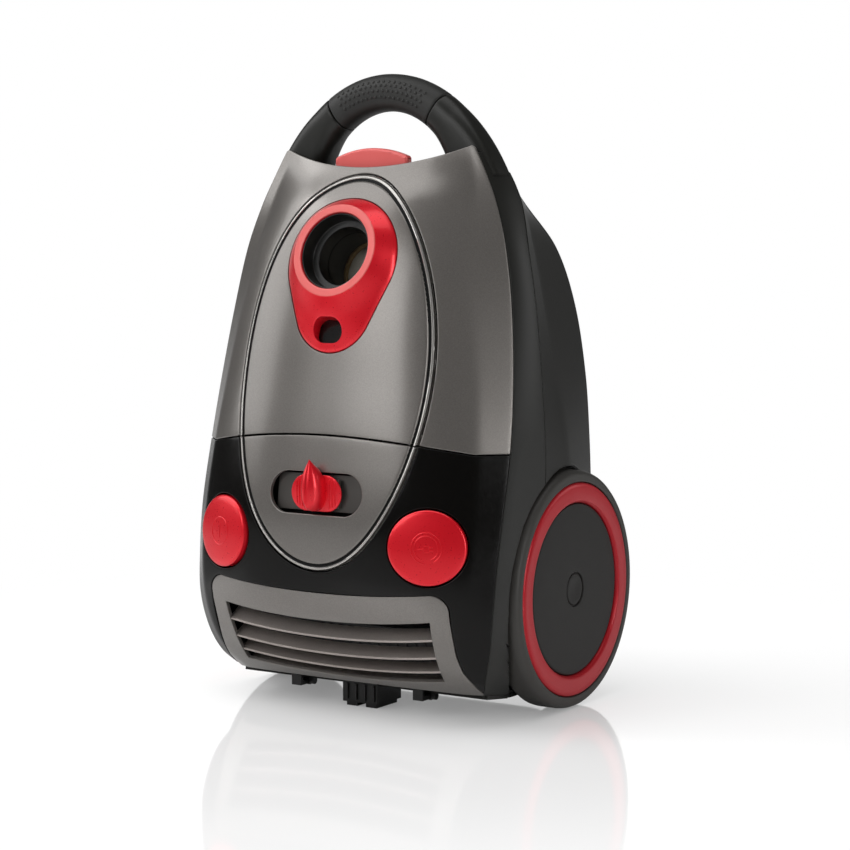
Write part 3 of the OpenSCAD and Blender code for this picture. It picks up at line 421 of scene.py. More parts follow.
# Metallic lacquer: fine flakes that are each a little lighter or darker than the next
flake, f_in, f_out = new_group("metal_flake", {"Flakes per metre": 2400.0, "Roughness": 0.35},
                               ["Colour", "Flake colour"], ["Color", "Roughness", "Height"])
cells = flake.nodes.new("ShaderNodeTexVoronoi")
coords = flake.nodes.new("ShaderNodeTexCoord")
link(flake, coords.outputs["Object"], cells.inputs["Vector"])
link(flake, f_in.outputs["Flakes per metre"], cells.inputs["Scale"])
grey = flake.nodes.new("ShaderNodeSeparateColor")
link(flake, cells.outputs["Color"], grey.inputs["Color"])
link(flake, mixed(flake, grey.outputs["Red"], f_in.outputs["Colour"],
                  f_in.outputs["Flake colour"]), f_out.inputs["Color"])
link(flake, math_node(flake, "ADD", spread(flake, grey.outputs["Green"], -0.02, 0.03),
                      f_in.outputs["Roughness"]), f_out.inputs["Roughness"])
link(flake, noise(flake, 60.0, 1.0), f_out.inputs["Height"])
print("shared effects:", grain.name, flake.name)

# %% [markdown]
# ## One finish for each material of the real object
# The lid is grey metallic lacquer, the front below it is glossy black, the side frames and the
# housing are satin plastic, and the grip is soft rubber. A clear coat over a half-metallic base
# gives lacquer its two highlights. Colours are written as they look on a screen and turned into
# linear light.


# %% The finishes
def tone(code):
    """A screen colour in linear light, with full opacity."""
    value = [int(code[k:k + 2], 16) / 255 for k in (0, 2, 4)]
    return tuple(c / 12.92 if c <= 0.04045 else ((c + 0.055) / 1.055) ** 2.4 for c in value) + (1,)


FINISH = {}


def finish(name, colour, second, rough, effect=grain, size=900.0, bump=0.02, deep=0.00002,
           **shader):
    """Makes one finish: size counts the grains or flakes in a metre, and deep is in metres."""
    material = bpy.data.materials.new(name)
    material.use_nodes = True
    tree = material.node_tree
    base = tree.nodes["Principled BSDF"]
    group = tree.nodes.new("ShaderNodeGroup")
    group.node_tree = effect
    for socket, value in zip(group.inputs, (tone(colour), tone(second), size, rough)):
        socket.default_value = value
    link(tree, group.outputs["Color"], base.inputs["Base Color"])
    link(tree, group.outputs["Roughness"], base.inputs["Roughness"])
    height = tree.nodes.new("ShaderNodeBump")
    height.inputs["Strength"].default_value = bump
    height.inputs["Distance"].default_value = deep
    link(tree, group.outputs["Height"], height.inputs["Height"])
    link(tree, height.outputs["Normal"], base.inputs["Normal"])
    for key, value in shader.items():
        base.inputs[key.replace("_", " ")].default_value = value
    FINISH[name] = material


finish("grey_metallic", "74706c", "807c78", 0.3, flake, 2600.0, 0.05, 0.0002, Metallic=0.55,
       Coat_Weight=0.5, Coat_Roughness=0.16)
# A lighter copy of the grey lacquer for the slats: painted light, where light falls on the blades.
finish("slat_painted_light", "a39a95", "b0a7a1", 0.34, flake, 2600.0, 0.05, 0.0004, Metallic=0.35,
       Coat_Weight=0.3, Coat_Roughness=0.1)
finish("slot_grey", "4c4946", "524f4c", 0.4, grain, 1200.0, 0.1, Metallic=0.4)
finish("red_metallic", "e60f22", "f01b2d", 0.3, grain, 900.0, 0.0, Metallic=0.4, Coat_Weight=0.25,
       Coat_Roughness=0.08)
# A lighter coral copy of the red: a painted highlight for the inlet's flat ring and the latch's
# top.
finish("red_painted_highlight", "de5a56", "e4625f", 0.4, grain, 900.0, 0.0, Metallic=0.1, Coat_Weight=0.3,
       Coat_Roughness=0.15)
# A lighter grey for the bead round the oval: a painted highlight along its rounded ridge.
finish("bead_painted_highlight", "b4b1ad", "bebbb7", 0.24, flake, 2600.0, 0.02, 0.0002, Metallic=0.7,
       Coat_Weight=0.3, Coat_Roughness=0.1)
# Matt black, used in the oval's channel as painted shade in the recess.
finish("seam_black", "0a0a0a", "0d0d0d", 0.6, Specular_IOR_Level=0.2)
finish("ring_red", "b41a26", "bc1e2a", 0.38, flake, 2400.0, 0.05, 0.0004, Metallic=0.3,
       Coat_Weight=0.2, Coat_Roughness=0.1, Specular_IOR_Level=0.25)
finish("cover_gloss", "0c0b0a", "0e0d0c", 0.18, grain, 500.0, 0.02, Specular_IOR_Level=0.2)
finish("frame_plastic", "1a1a17", "1d1d1a", 0.38, grain, 1400.0, 0.12, Specular_IOR_Level=0.38)
finish("grip_rubber", "1c1c1a", "20201e", 0.55, grain, 2000.0, 0.2)
finish("tyre_black", "383633", "3c3a37", 0.5, grain, 1400.0, 0.15)
finish("hub_plastic", "1c1a18", "1f1d1b", 0.46, grain, 1600.0, 0.15, Specular_IOR_Level=0.32)
finish("black_plastic", "0f0f0e", "131312", 0.38, grain, 1400.0, 0.12)
finish("steel", "b4b4b2", "c0c0be", 0.3, grain, 1200.0, 0.1, Metallic=1.0)
finish("copper", "b46a3c", "c87c48", 0.35, grain, 700.0, 0.3, Metallic=1.0)
finish("soft_rubber", "191918", "1d1d1c", 0.7, grain, 1500.0, 0.2)
finish("board", "1f5a2e", "24663a", 0.4, grain, 300.0, 0.1)
finish("filter_foam", "2c2c2c", "363636", 0.9, grain, 1300.0, 1.0, 0.0005)
finish("felt", "d8d4c8", "cfcabc", 0.95, grain, 900.0, 0.8, 0.0004, Sheen_Weight=0.3)
finish("card", "b39a70", "a98f66", 0.8, grain, 500.0, 0.3, 0.0002)
finish("flag_red", "c22018", "b81c16", 0.4, grain, 900.0, 0.1)
finish("pale_plastic", "d4d4cf", "dadad5", 0.4, grain, 900.0, 0.1)
finish("smoked_window", "0c0c0c", "101010", 0.16, grain, 300.0, 0.02, Coat_Weight=0.15,
       Coat_Roughness=0.1, Specular_IOR_Level=0.2, Alpha=0.9)
for part in frame["record"]["subparts"]:
    NODES[part["node"]].data.materials.clear()
    NODES[part["node"]].data.materials.append(FINISH[part["material_slot"]])
print("finishes:", len(FINISH), "on", len(NODES), "nodes")

# %% [markdown]
# ## The studio
# The vacuum cleaner stands on white paper under large soft lamps. The camera looks from the front
# right and a little above the middle, from far enough away that upright lines stay upright. The
# world is dim in front of the paper, as a studio is, and only the paper behind is white; that is
# what lets glossy black plastic look black.

# %% The camera
camera_data = bpy.data.cameras.new("camera")
camera = bpy.data.objects.new("camera", camera_data)
scene.collection.objects.link(camera)
camera.location = (0.8747, -1.3327, 0.3258)
aim = Vector((0.0, 0.031, 0.200)) - camera.location
camera.rotation_euler = aim.to_track_quat("-Z", "Y").to_euler()
camera_data.lens = 95.55
camera_data.sensor_width = 36.0
camera_data.shift_x = 0.0035
camera_data.shift_y = -0.0134
camera_data.clip_end = 60.0
scene.camera = camera
print("camera:", round(aim.length, 3), "m away")

# %% [markdown]
# ## The paper
# A studio rolls white paper out under a product and up behind it. Here a large disc is the floor.
# Near the machine it takes shadows and a faint reflection, and further out it fades into plain
# white, so that no horizon shows. A weak glow, which only the camera sees, lifts the near part.

# %% The floor
FLOOR_LIFT, FADE_FROM, FADE_TO = 0.22, 0.26, 0.62
bpy.ops.mesh.primitive_circle_add(vertices=64, radius=9.0, fill_type="NGON",
                                  location=(0, 0, -0.0002))
floor = bpy.context.object
floor.name = "paper_floor"
paper = bpy.data.materials.new("paper")
paper.use_nodes = True
tree = paper.node_tree
sheet = tree.nodes["Principled BSDF"]
sheet.inputs["Base Color"].default_value = (0.93, 0.93, 0.93, 1)
sheet.inputs["Roughness"].default_value = 0.06
sheet.inputs["Specular IOR Level"].default_value = 0.5
where = tree.nodes.new("ShaderNodeTexCoord")
length = tree.nodes.new("ShaderNodeVectorMath")
length.operation = "LENGTH"
link(tree, where.outputs["Object"], length.inputs[0])
faded = spread(tree, length.outputs["Value"], 0.0, 1.0, FADE_FROM, FADE_TO, "SMOOTHSTEP")
path = tree.nodes.new("ShaderNodeLightPath")
seen = math_node(tree, "MAXIMUM", path.outputs["Is Camera Ray"],
                 path.outputs["Is Transmission Ray"])
white = tree.nodes.new("ShaderNodeEmission")
white.inputs["Strength"].default_value = 1.0
lift = tree.nodes.new("ShaderNodeEmission")
link(tree, math_node(tree, "MULTIPLY", path.outputs["Is Camera Ray"], FLOOR_LIFT),
     lift.inputs["Strength"])
lifted = tree.nodes.new("ShaderNodeAddShader")
link(tree, sheet.outputs["BSDF"], lifted.inputs[0])
link(tree, lift.outputs["Emission"], lifted.inputs[1])
blend = tree.nodes.new("ShaderNodeMixShader")
link(tree, math_node(tree, "MULTIPLY", seen, faded), blend.inputs["Fac"])
link(tree, lifted.outputs["Shader"], blend.inputs[1])
link(tree, white.outputs["Emission"], blend.inputs[2])
link(tree, blend.outputs["Shader"], tree.nodes["Material Output"].inputs["Surface"])
floor.data.materials.append(paper)
print("floor:", floor.name)

# %% [markdown]
# ## The world
# The world gives plain dim light from all round. In glossy reflections it is nearly black in front
# of the machine and white behind it, as the paper is, and the camera always sees white.

# %% The world
AROUND, IN_FRONT, BEHIND = 0.29, 0.05, 0.94
BACK_FROM, BACK_TO = 0.86, 0.98
world = bpy.data.worlds.new("studio")
scene.world = world
world.use_nodes = True
tree = world.node_tree
light = tree.nodes["Background"]
path = tree.nodes.new("ShaderNodeLightPath")
where = tree.nodes.new("ShaderNodeTexCoord")
facing_back = tree.nodes.new("ShaderNodeVectorMath")
facing_back.operation = "DOT_PRODUCT"
facing_back.inputs[1].default_value = (-0.54, 0.84, 0.0)
link(tree, where.outputs["Generated"], facing_back.inputs[0])
behind = spread(tree, facing_back.outputs["Value"], 0.0, 1.0, BACK_FROM, BACK_TO, "SMOOTHSTEP")
room = math_node(tree, "MULTIPLY_ADD", behind, BEHIND, IN_FRONT)
seen = math_node(tree, "MAXIMUM", path.outputs["Is Glossy Ray"],
                 path.outputs["Is Transmission Ray"])
level = math_node(tree, "MULTIPLY", seen, room)
plain = math_node(tree, "SUBTRACT", 1.0, seen)
level = math_node(tree, "MULTIPLY_ADD", plain, AROUND, level)
level = math_node(tree, "MAXIMUM", level, path.outputs["Is Camera Ray"])
link(tree, level, light.inputs["Strength"])
light.inputs["Color"].default_value = (1, 1, 1, 1)
print("world:", world.name)

# %% [markdown]
# ## The lamps
# Broad panels of light stand on the left, in front and above, a narrow strip lights the near
# corner, and a weak panel behind draws the edge of the tub. Each lamp is turned to look at a
# point inside the machine.


# %% The lamps
def lamp(name, place, target, width, height, power):
    data = bpy.data.lights.new(name, "AREA")
    data.shape = "RECTANGLE"
    data.size, data.size_y = width, height
    data.energy = power
    thing = bpy.data.objects.new(name, data)
    scene.collection.objects.link(thing)
    thing.location = place
    way = Vector(target) - Vector(place)
    thing.rotation_euler = way.to_track_quat("-Z", "Y").to_euler()


lamp("left_softbox", (-1.96, -0.75, 1.22), (0, 0, 0.25), 1.3, 1.6, 13.5)
lamp("front_softbox", (-0.68, -1.95, 1.1), (0, 0, 0.25), 1.2, 0.9, 10.5)
lamp("upper_softbox", (-1.08, -0.8, 1.9), (0, 0, 0.3), 1.4, 1.4, 12)
lamp("corner_strip", (1.5, -0.53, 0.55), (0, 0, 0.25), 0.3, 0.9, 5.5)
lamp("side_fill", (1.3, 1.65, 0.65), (0, 0, 0.25), 0.6, 1.0, 3)
lamp("top_softbox", (0.1, -0.1, 2.0), (0, 0, 0.2), 1.6, 1.2, 9)

# %% [markdown]
# ## The lid
# The lid is one big pressed-looking moulding in grey lacquer. Its lower edge dips towards the
# corners, its upper edge rises to two horns beside the handle, and an oval panel is let into it.
# We draw that outline once, and press it onto the form.


# %% Outlines of the lid and its oval
HORN_X, HORN_FOOT = 77.0, 388.2
LOW_EDGE = SPLIT_Z - SPLIT_DROP


def split(x):
    """Height of the split between the lid and the parts below it."""
    half = float(along(SPLIT_Z, 2))
    return SPLIT_Z - SPLIT_DROP * (np.minimum(np.abs(x), half) / half) ** 2


def lid_top(x):
    return LID_TOP + LID_RISE * (np.minimum(np.abs(x), HORN_X) / HORN_X) ** 2


def oval(inset, steps=220):
    """The oval's outline, drawn in by an inset."""
    t = full_turn(steps)
    return np.c_[(OVAL_W - inset) * np.cos(t), OVAL_Z + (OVAL_H - inset) * np.sin(t)]


def ring_line(loop):
    return np.vstack([loop, loop[:1]])


def crease_lines(low, high):
    """Rows of points along both creases, close together in the middle."""
    z = np.arange(low, high, 3.0)
    return [np.c_[side * (along(z, 2) + d), z] for side in (-1, 1)
            for d in (-3.0, -1.9, -0.9, 0.0, 0.9, 1.9, 3.0)]


def lid_outline():
    low, high = float(along(LOW_EDGE, 4)), HORN_X - 0.7
    foot = np.linspace(-low, low, 120)
    side = np.arange(LOW_EDGE + 1.5, HORN_FOOT, 2.0)
    top = np.linspace(high, -high, 90)
    return np.vstack([np.c_[foot, split(foot)], np.c_[along(side, 4), side],
                      np.c_[top, lid_top(top)], np.c_[-along(side[::-1], 4), side[::-1]]])


def above_split():
    x = np.linspace(-125, 125, 130)
    return np.vstack([np.c_[x, split(x)], [[125, 400], [-125, 400]]])


def below_split(gap):
    x = np.linspace(125, -125, 130)
    return np.vstack([np.c_[x, split(x) - gap], [[-125, 0], [125, 0]]])


def press(name, flat, triangles, relief=None):
    """Presses a flat pattern onto the front of the form and gives it its wall."""
    x, z = flat[:, 0], flat[:, 1]
    y = front(x, z) - (0 if relief is None else relief(x, z))
    piece = mesh_piece(name, np.c_[x, y, z], triangles)
    wall(piece, WALL)
    return piece


HINGE_Y, HINGE_Z = -87.5, 185.5


def clear_hinge(piece):
    """Leans the wall of the lower edge back, so that the edge turns past the panel below."""
    for vertex in piece.data.vertices:
        x, y, z = (1000 * c for c in vertex.co)
        foot = float(split(x))
        before, above = float(front(x, foot)) - HINGE_Y, foot - HINGE_Z
        if before < 0 < above:
            vertex.co.z = 0.001 * max(z, foot - before / above * (y - float(front(x, z))))
    in_edit(piece, weld(2e-5), outward)


print("the lid's lower edge at its sides:", LOW_EDGE, "mm")

# %% [markdown]
# ## Pressing the lid
# The pattern gets rows of points along the crease, where the surface turns, so that the highlight
# there stays even. The lid turns about pins that lie behind its lower edge. Its wall leans back
# there, or the edge would cut into the panel below as the lid opens.

# %% The lid itself
flat, triangles = pattern([lid_outline()], [oval(0)], lines=crease_lines(190, 388))
lid = press("lid_skin", flat, triangles)
clear_hinge(lid)
rim(lid, 0.7, 3)
smooth(lid)
done(lid, "lid", "grey_metallic", FINISH["grey_metallic"], "lid_shell")

# %% [markdown]
# ## The oval panel
# The oval is edged by a raised bead and a sunk channel inside it. The bead is painted a lighter
# grey as a painted highlight, and the channel matt black as painted shade. Both follow the oval all
# the way round, across the split between the lid and the control panel, so one relief serves both
# panels: it gives the height at any distance from the rim. The mesh has rings of points at each
# bend of that profile, so the bead stays crisp.


# %% The bead and channel round the oval
BEAD = [(0.0, 0.05), (0.35, 0.36), (0.8, 0.5), (1.25, 0.5), (1.7, 0.34), (2.0, -0.1), (2.2, -0.7),
        (2.45, -1.0), (3.7, -1.0), (3.95, -0.8), (4.2, -0.3), (4.5, 0.02), (4.8, 0.16), (5.2, 0.22)]
INLET_Y, INLET_Z, INLET_TILT = -79.5, 318.0, math.radians(18)
DROP_TOP, DROP_FOOT = (-3.4, 43.8), (-36.8, 31.0)
UP_FACE = np.array([0, math.sin(INLET_TILT), math.cos(INLET_TILT)])
OUT_FACE = np.array([0, -math.cos(INLET_TILT), math.sin(INLET_TILT)])


def from_rim(x, z):
    """How far a point of the pattern lies inside the oval's rim."""
    u, v = x / (OVAL_W - GROOVE), (z - OVAL_Z) / (OVAL_H - GROOVE)
    e = np.sqrt(u * u + v * v)
    slope = np.sqrt((u / OVAL_W) ** 2 + (v / OVAL_H) ** 2) / np.maximum(e, 1e-6)
    return (1 - e) / np.maximum(slope, 1e-6)


def bead(x, z):
    return np.interp(from_rim(x, z), [d for d, h in BEAD], [h for d, h in BEAD])


def paint_bead(piece):
    """The bead gets a lighter grey as a painted highlight, the channel inside it matt black as
    painted shade, and the rest lacquer.
    """
    lacquer, channel, bright = 0, 1, 2
    bright_to, channel_to, skin = 2.05, 4.1, 1.8
    for name in ("grey_metallic", "seam_black", "bead_painted_highlight"):
        piece.data.materials.append(FINISH[name])
    middle = np.empty(3 * len(piece.data.polygons), np.float32)
    piece.data.polygons.foreach_get("center", middle)
    x, y, z = 1000 * middle.reshape(-1, 3).T
    inward = from_rim(x, z)
    # The bead's faces get the painted highlight, and the channel's faces painted shade.
    coat = np.where(inward < bright_to, bright, np.where(inward < channel_to, channel, lacquer))
    coat = np.where(y < front(x, z) + skin, coat, lacquer)
    piece.data.polygons.foreach_set("material_index", coat.astype(np.int32))


def on_front(point, way):
    """Where lines from each point along way meet the front surface."""
    point = np.array(point, float)
    for _ in range(12):
        gap = point[:, 1] - front(point[:, 0], point[:, 2])
        point = point - np.outer(gap / way[1], way)
    return point


def teardrop(grow, steps=40):
    """The inlet's outline: the hull of a large circle and a smaller one below it."""
    (v1, r1), (v2, r2) = ((v, r + grow) for v, r in (DROP_TOP, DROP_FOOT))
    lean = math.asin((r1 - r2) / (v1 - v2))
    t = np.linspace(-lean, math.pi + lean, steps * 2)
    top = np.c_[r1 * np.cos(t), v1 + r1 * np.sin(t)]
    t = np.linspace(math.pi + lean, 2 * math.pi - lean, steps * 2)
    foot = np.c_[r2 * np.cos(t), v2 + r2 * np.sin(t)]
    return np.vstack([top, foot])


def at_inlet(flat, height):
    """Points drawn on the inlet's tilted face, in the body's frame."""
    flat = np.asarray(flat, float)
    origin = np.array([0, INLET_Y, INLET_Z])
    height = np.broadcast_to(height, (len(flat),))
    return (origin + flat[:, :1] * np.array([1, 0, 0]) + flat[:, 1:2] * UP_FACE
            + height[:, None] * OUT_FACE)


bead_lines = [ring_line(oval(GROOVE + d)) for d, h in BEAD[1:]]
hole = on_front(at_inlet(teardrop(0.5), 0), OUT_FACE)[:, [0, 2]]
flat, triangles = pattern([oval(GROOVE), above_split()], [hole], lines=bead_lines)
oval_lid = press("lid_oval", flat, triangles, bead)
clear_hinge(oval_lid)
rim(oval_lid, 0.45, 3)
paint_bead(oval_lid)
smooth(oval_lid)
done(oval_lid, "lid", "grey_metallic", None, "lid_oval_panel")

# %% [markdown]
# ## The control panel
# Below the split the oval goes on as a fixed panel with the slot for the power slider. The slot's
# edge is a soft bevel, so the rim is rounded more than that of the oval panel above.

# %% The control panel with its slot
SLOT_L, SLOT_H, SLOT_Z = 75.0, 28.5, 155.0


def stadium(length, height, z, steps=24):
    """A bar with half-round ends, centred at a height."""
    r, c = height / 2, (length - height) / 2
    t = np.linspace(-math.pi / 2, math.pi / 2, steps)
    right = np.c_[c + r * np.cos(t), z + r * np.sin(t)]
    return np.vstack([right, np.c_[-right[:, 0], 2 * z - right[:, 1]]])


flat, triangles = pattern([oval(GROOVE), below_split(SEAM + 0.25)],
                          [spaced(stadium(SLOT_L, SLOT_H, SLOT_Z), 1.5)], lines=bead_lines)
panel = press("control_oval", flat, triangles, bead)
rim(panel, 0.6, 3)
paint_bead(panel)
smooth(panel)
done(panel, "body", "grey_metallic", None, "control_panel")

# %% [markdown]
# ## The glossy front
# The black cover runs from the lid's edge down to the base. It is cut out for the oval, the two
# round buttons and the exhaust grille. A button stands square to the surface, so its round hole
# is found by walking from the button's face along its axis until the surface is met.

# %% The front cover
BUTTON_W, BUTTON_H, BUTTON_X, BUTTON_Z, BUTTON_GAP = 53.4, 49.8, 84.0, 123.0, 1.3
YAW, LIFT = math.radians(20), math.radians(4)
GRILLE_X, GRILLE_Z, GRILLE_RISE = 96.0, 87.0, 5.5
LEVEL_TO, FRONT_RISE = -16, 0.107


def underside(y):
    """Height of the body's floor, which rises a little towards the front."""
    return BASE_Z + np.maximum(0, (LEVEL_TO - y) * FRONT_RISE)


def button_axes(side):
    """The directions across a button's face, up it and out of it."""
    out = np.array([side * math.sin(YAW) * math.cos(LIFT), -math.cos(YAW) * math.cos(LIFT),
                    math.sin(LIFT)])
    across = np.array([math.cos(YAW), side * math.sin(YAW), 0])
    return across, np.cross(out, across), out


def button_centre(side):
    return np.array([side * BUTTON_X, float(front(BUTTON_X, BUTTON_Z)) + 1.2, BUTTON_Z])


def button_hole(side, grow, steps=72):
    across, up, out = button_axes(side)
    t = full_turn(steps)
    points = (button_centre(side) + np.outer((BUTTON_W / 2 + grow) * np.cos(t), across)
              + np.outer((BUTTON_H / 2 + grow) * np.sin(t), up))
    return on_front(points, out)[:, [0, 2]]


def grille_outline(grow=0.0):
    """The grille panel's outline: a curved top with round corners, and sides that end below."""
    s = np.linspace(-1, 1, 61)
    top = np.c_[s * GRILLE_X, GRILLE_Z + GRILLE_RISE * s * s]
    corner, reach = np.array([GRILLE_X + 0.4, GRILLE_Z + GRILLE_RISE]), 11.0
    top = top[np.abs(top[:, 0]) < GRILLE_X - reach]
    a, b = corner - [reach, 1.1], corner + [1.5, -reach]
    t = np.linspace(0, 1, 14)[:, None]
    bend = ((1 - t) ** 3 * a + 3 * (1 - t) ** 2 * t * (a * 0.45 + corner * 0.55)
            + 3 * (1 - t) * t * t * (b * 0.45 + corner * 0.55) + t ** 3 * b)
    side = np.array([[98, 75], [98, 50], [99.2, 38], [102, 24], [104, 0]])
    half = np.vstack([top[len(top) // 2:], bend, side])
    loop = np.vstack([half, (half * [-1, 1])[::-1]])
    middle = np.array([0, 55.0])
    way = loop - middle
    return loop + grow * way / np.linalg.norm(way, axis=1)[:, None]


def front_outline():
    side = np.arange(21.0, 182.6, 2.0)
    high, low = float(along(LOW_EDGE - SEAM, 4)), float(along(19.0, 4))
    top, foot_x = np.linspace(high, -high, 120), np.linspace(-low, low, 80)
    foot_z = np.full_like(foot_x, 19.5)
    for _ in range(6):  # the foot's height depends on its depth, so it is found step by step
        foot_z = underside(front(foot_x, foot_z))
    return np.vstack([np.c_[foot_x, foot_z], np.c_[along(side, 4), side],
                      np.c_[top, split(top) - SEAM], np.c_[-along(side[::-1], 4), side[::-1]]])


grille_edge = spaced(grille_outline(SEAM), 2.2)
holes = [oval(0), grille_edge] + [button_hole(side, BUTTON_GAP) for side in (-1, 1)]
flat, triangles = pattern([front_outline()], holes, lines=crease_lines(20, 184))
cover = press("gloss_front", flat, triangles)
rim(cover, 0.6, 3)
smooth(cover)
done(cover, "body", "cover_gloss", FINISH["cover_gloss"], "front_cover")

# %% [markdown]
# ## The exhaust grille
# Warm air leaves through four slats that slope back and up. The panel is pressed like the others.
# A slat is one closed section, a thin blade with a round nose, swept across the opening in small
# steps. Its path bows down in the middle, as the opening does.

# %% The grille panel and its slats
OPEN_TOP, OPEN_FOOT, OPEN_TOP_Z, OPEN_FOOT_Z, FOOT_RISE = 84.5, 82.0, 67.5, 24.5, 4.8
SLAT_DEEP, SLAT_THICK = 11.0, 1.8
SLATS = ((27, 3.6), (36.7, 4.4), (47, 5.6), (59.7, 6.4))  # height of the nose, climb to the back


def opening():
    s = np.linspace(-1, 1, 61)
    top = np.c_[s[::-1] * OPEN_TOP, OPEN_TOP_Z + GRILLE_RISE * s * s]
    foot = np.c_[s * OPEN_FOOT, OPEN_FOOT_Z + FOOT_RISE * s * s]
    return spaced(np.vstack([top, foot]), 2.2)


def sweep_faces(rows, count, closed=True):
    faces = [[k * count + i, k * count + (i + 1) % count, (k + 1) * count + (i + 1) % count,
              (k + 1) * count + i] for k in range(rows - 1) for i in range(count)]
    if closed:
        faces += [list(range(count))[::-1], [(rows - 1) * count + i for i in range(count)]]
    return faces


def swept(name, rings, closed=True):
    """A mesh through equal rings of points."""
    rings = np.asarray(rings, float)
    piece = mesh_piece(name, rings.reshape(-1, 3), sweep_faces(len(rings), rings.shape[1], closed))
    in_edit(piece, weld(), outward)
    return piece


def slat(foot, rise):
    r, rings = SLAT_THICK / 2, []
    for s in np.linspace(-1, 1, 49):
        z = foot - GRILLE_RISE * (1 - s * s)
        x = s * (OPEN_TOP + 0.6)
        y = float(front(x, z)) + 0.5
        nose = [(r - r * math.sin(a), r + r * math.cos(a)) for a in np.linspace(math.pi, 0, 7)]
        section = nose + [(SLAT_DEEP, rise + SLAT_THICK), (SLAT_DEEP, rise)]
        rings.append([(x, y + dy, z + dz) for dy, dz in section])
    return swept("slat", rings)


flat, triangles = pattern([grille_outline(0.0), front_outline()], [opening()])
grille = press("grille_panel", flat, triangles)
rim(grille, 0.5, 3)
grille.data.materials.append(FINISH["grey_metallic"])
slats = [slat(foot, rise) for foot, rise in SLATS]
# The slats take the lighter copy of the lacquer as painted light.
for piece in slats:
    piece.data.materials.append(FINISH["slat_painted_light"])
grille = join("exhaust_panel", [grille] + slats)
smooth(grille)
done(grille, "grille", "grey_metallic", None, "exhaust_grille")

# %% [markdown]
# ## The hose inlet
# A red plate in the shape of a drop carries the hose collar. Its rim is a flat ring, and from the
# ring the plate flares down to the drop's outline, steeply at the top and gently at the foot,
# where a small window shows when the bag is full. The plate is one flat pattern again, lifted by
# a height at each point, and bands of faces make its outer wall, its bore and the tapered well of
# its window.

# %% The red plate round the inlet
PLATE_FOOT, WINDOW_V, RIM_R, BORE_R = -13.6, -53.5, 32.5, 27.0
BORE_DEEP, WELL_DEEP, PLATE_WALL, PLATE_STEP = 18.0, 18.4, 2.4, 1.7


def drop_distance(p):
    """How far each point lies inside the drop's outline."""
    (v1, r1), (v2, r2) = DROP_TOP, DROP_FOOT
    u, v, span = np.abs(p[:, 0]), p[:, 1] - v2, v1 - v2
    b = (r2 - r1) / span
    a = math.sqrt(1 - b * b)
    k = -b * u + a * v
    side = np.where(k < 0, np.hypot(u, v) - r2,
                    np.where(k > a * span, np.hypot(u, v - span) - r1, a * u + b * v - r2))
    return -side


def surface_height(flat, gap=0.0):
    """Height of the body's surface over the inlet's face, at points drawn on that face."""
    p = on_front(at_inlet(flat, 0), OUT_FACE)
    return (p - np.array([0, INLET_Y, INLET_Z])) @ OUT_FACE + gap


def band(name, rings):
    """Open bands of faces through closed rings of points."""
    rings = np.asarray(rings, float)
    return mesh_piece(name, rings.reshape(-1, 3), sweep_faces(len(rings), rings.shape[1], False))


def rounded_box(w, h, r, v, steps=8):
    out = []
    for cx, cy, a in ((w / 2 - r, h / 2 - r, 0), (r - w / 2, h / 2 - r, 90),
                      (r - w / 2, r - h / 2, 180), (w / 2 - r, r - h / 2, 270)):
        for k in range(steps + 1):
            t = math.radians(a + 90 * k / steps)
            out.append((cx + r * math.cos(t), v + cy + r * math.sin(t)))
    return np.array(out)


def circle(r, steps=96):
    t = full_turn(steps)
    return np.c_[r * np.cos(t), r * np.sin(t)]


ROLL_W, ROLL_H, FLARE_W, FLARE_H = 2.2, 0.8, 14, 0.7
STEP_W, STEP_H, BORE_ROLL_W, BORE_ROLL_H = 0.4, 0.3, 0.8, 0.5


def plate_height(p):
    """Height over the inlet's face: a flat ring with a rolled bore, and a flare to the edge."""
    inward = drop_distance(p)
    radius = np.hypot(p[:, 0], p[:, 1])
    from_rim = np.maximum(radius - RIM_R, 0)
    s = from_rim / np.maximum(from_rim + np.maximum(inward, 0), 1e-6)
    foot = np.maximum(PLATE_FOOT, surface_height(p, 0.9))
    roll = np.clip(1 - inward / ROLL_W, 0, 1) ** 2 * ROLL_H
    flare = FLARE_H * np.sin(math.pi * s) * np.clip(from_rim / FLARE_W, 0, 1)
    step = STEP_H * np.clip(from_rim / STEP_W, 0, 1)
    bore_roll = BORE_ROLL_H * np.clip(1 - (radius - BORE_R) / BORE_ROLL_W, 0, 1) ** 2
    return np.where(from_rim > 0, foot * s - flare - roll - step, -bore_roll)


outline = spaced(teardrop(-0.1), 1.6)
window = rounded_box(23.2, 16.6, 8.2, WINDOW_V)
shrink = [spaced(teardrop(-0.1 - d), 1.6) for d in (0.35, 0.8, 1.5, 2.4)]
rims = [circle(r) for r in (BORE_R + 0.35, BORE_R + 0.9, RIM_R, RIM_R + 0.4, RIM_R + 1.4)]
flat, triangles = pattern([outline], [circle(BORE_R), window], PLATE_STEP,
                          [ring_line(a) for a in shrink + rims])
plate = mesh_piece("inlet_plate", at_inlet(flat, plate_height(flat)), triangles)
edge_h, foot_h = plate_height(outline), surface_height(outline, -PLATE_WALL)
bore, well = circle(BORE_R), rounded_box(22.4, 18.5, 7.4, WINDOW_V)
walls = [band("wall", [at_inlet(outline, edge_h), at_inlet(outline, (edge_h + foot_h) / 2),
                       at_inlet(outline, foot_h)]),
         band("bore", [at_inlet(bore, plate_height(bore)), at_inlet(bore, -BORE_DEEP)]),
         band("well", [at_inlet(window, plate_height(window)), at_inlet(well, -WELL_DEEP)])]
plate = join("inlet_plate", [plate] + walls)
in_edit(plate, weld(2e-6), outward)
rim(plate, 0.55, 3, 40)
smooth(plate, 32)
for name in ("red_metallic", "red_painted_highlight"):
    plate.data.materials.append(FINISH[name])
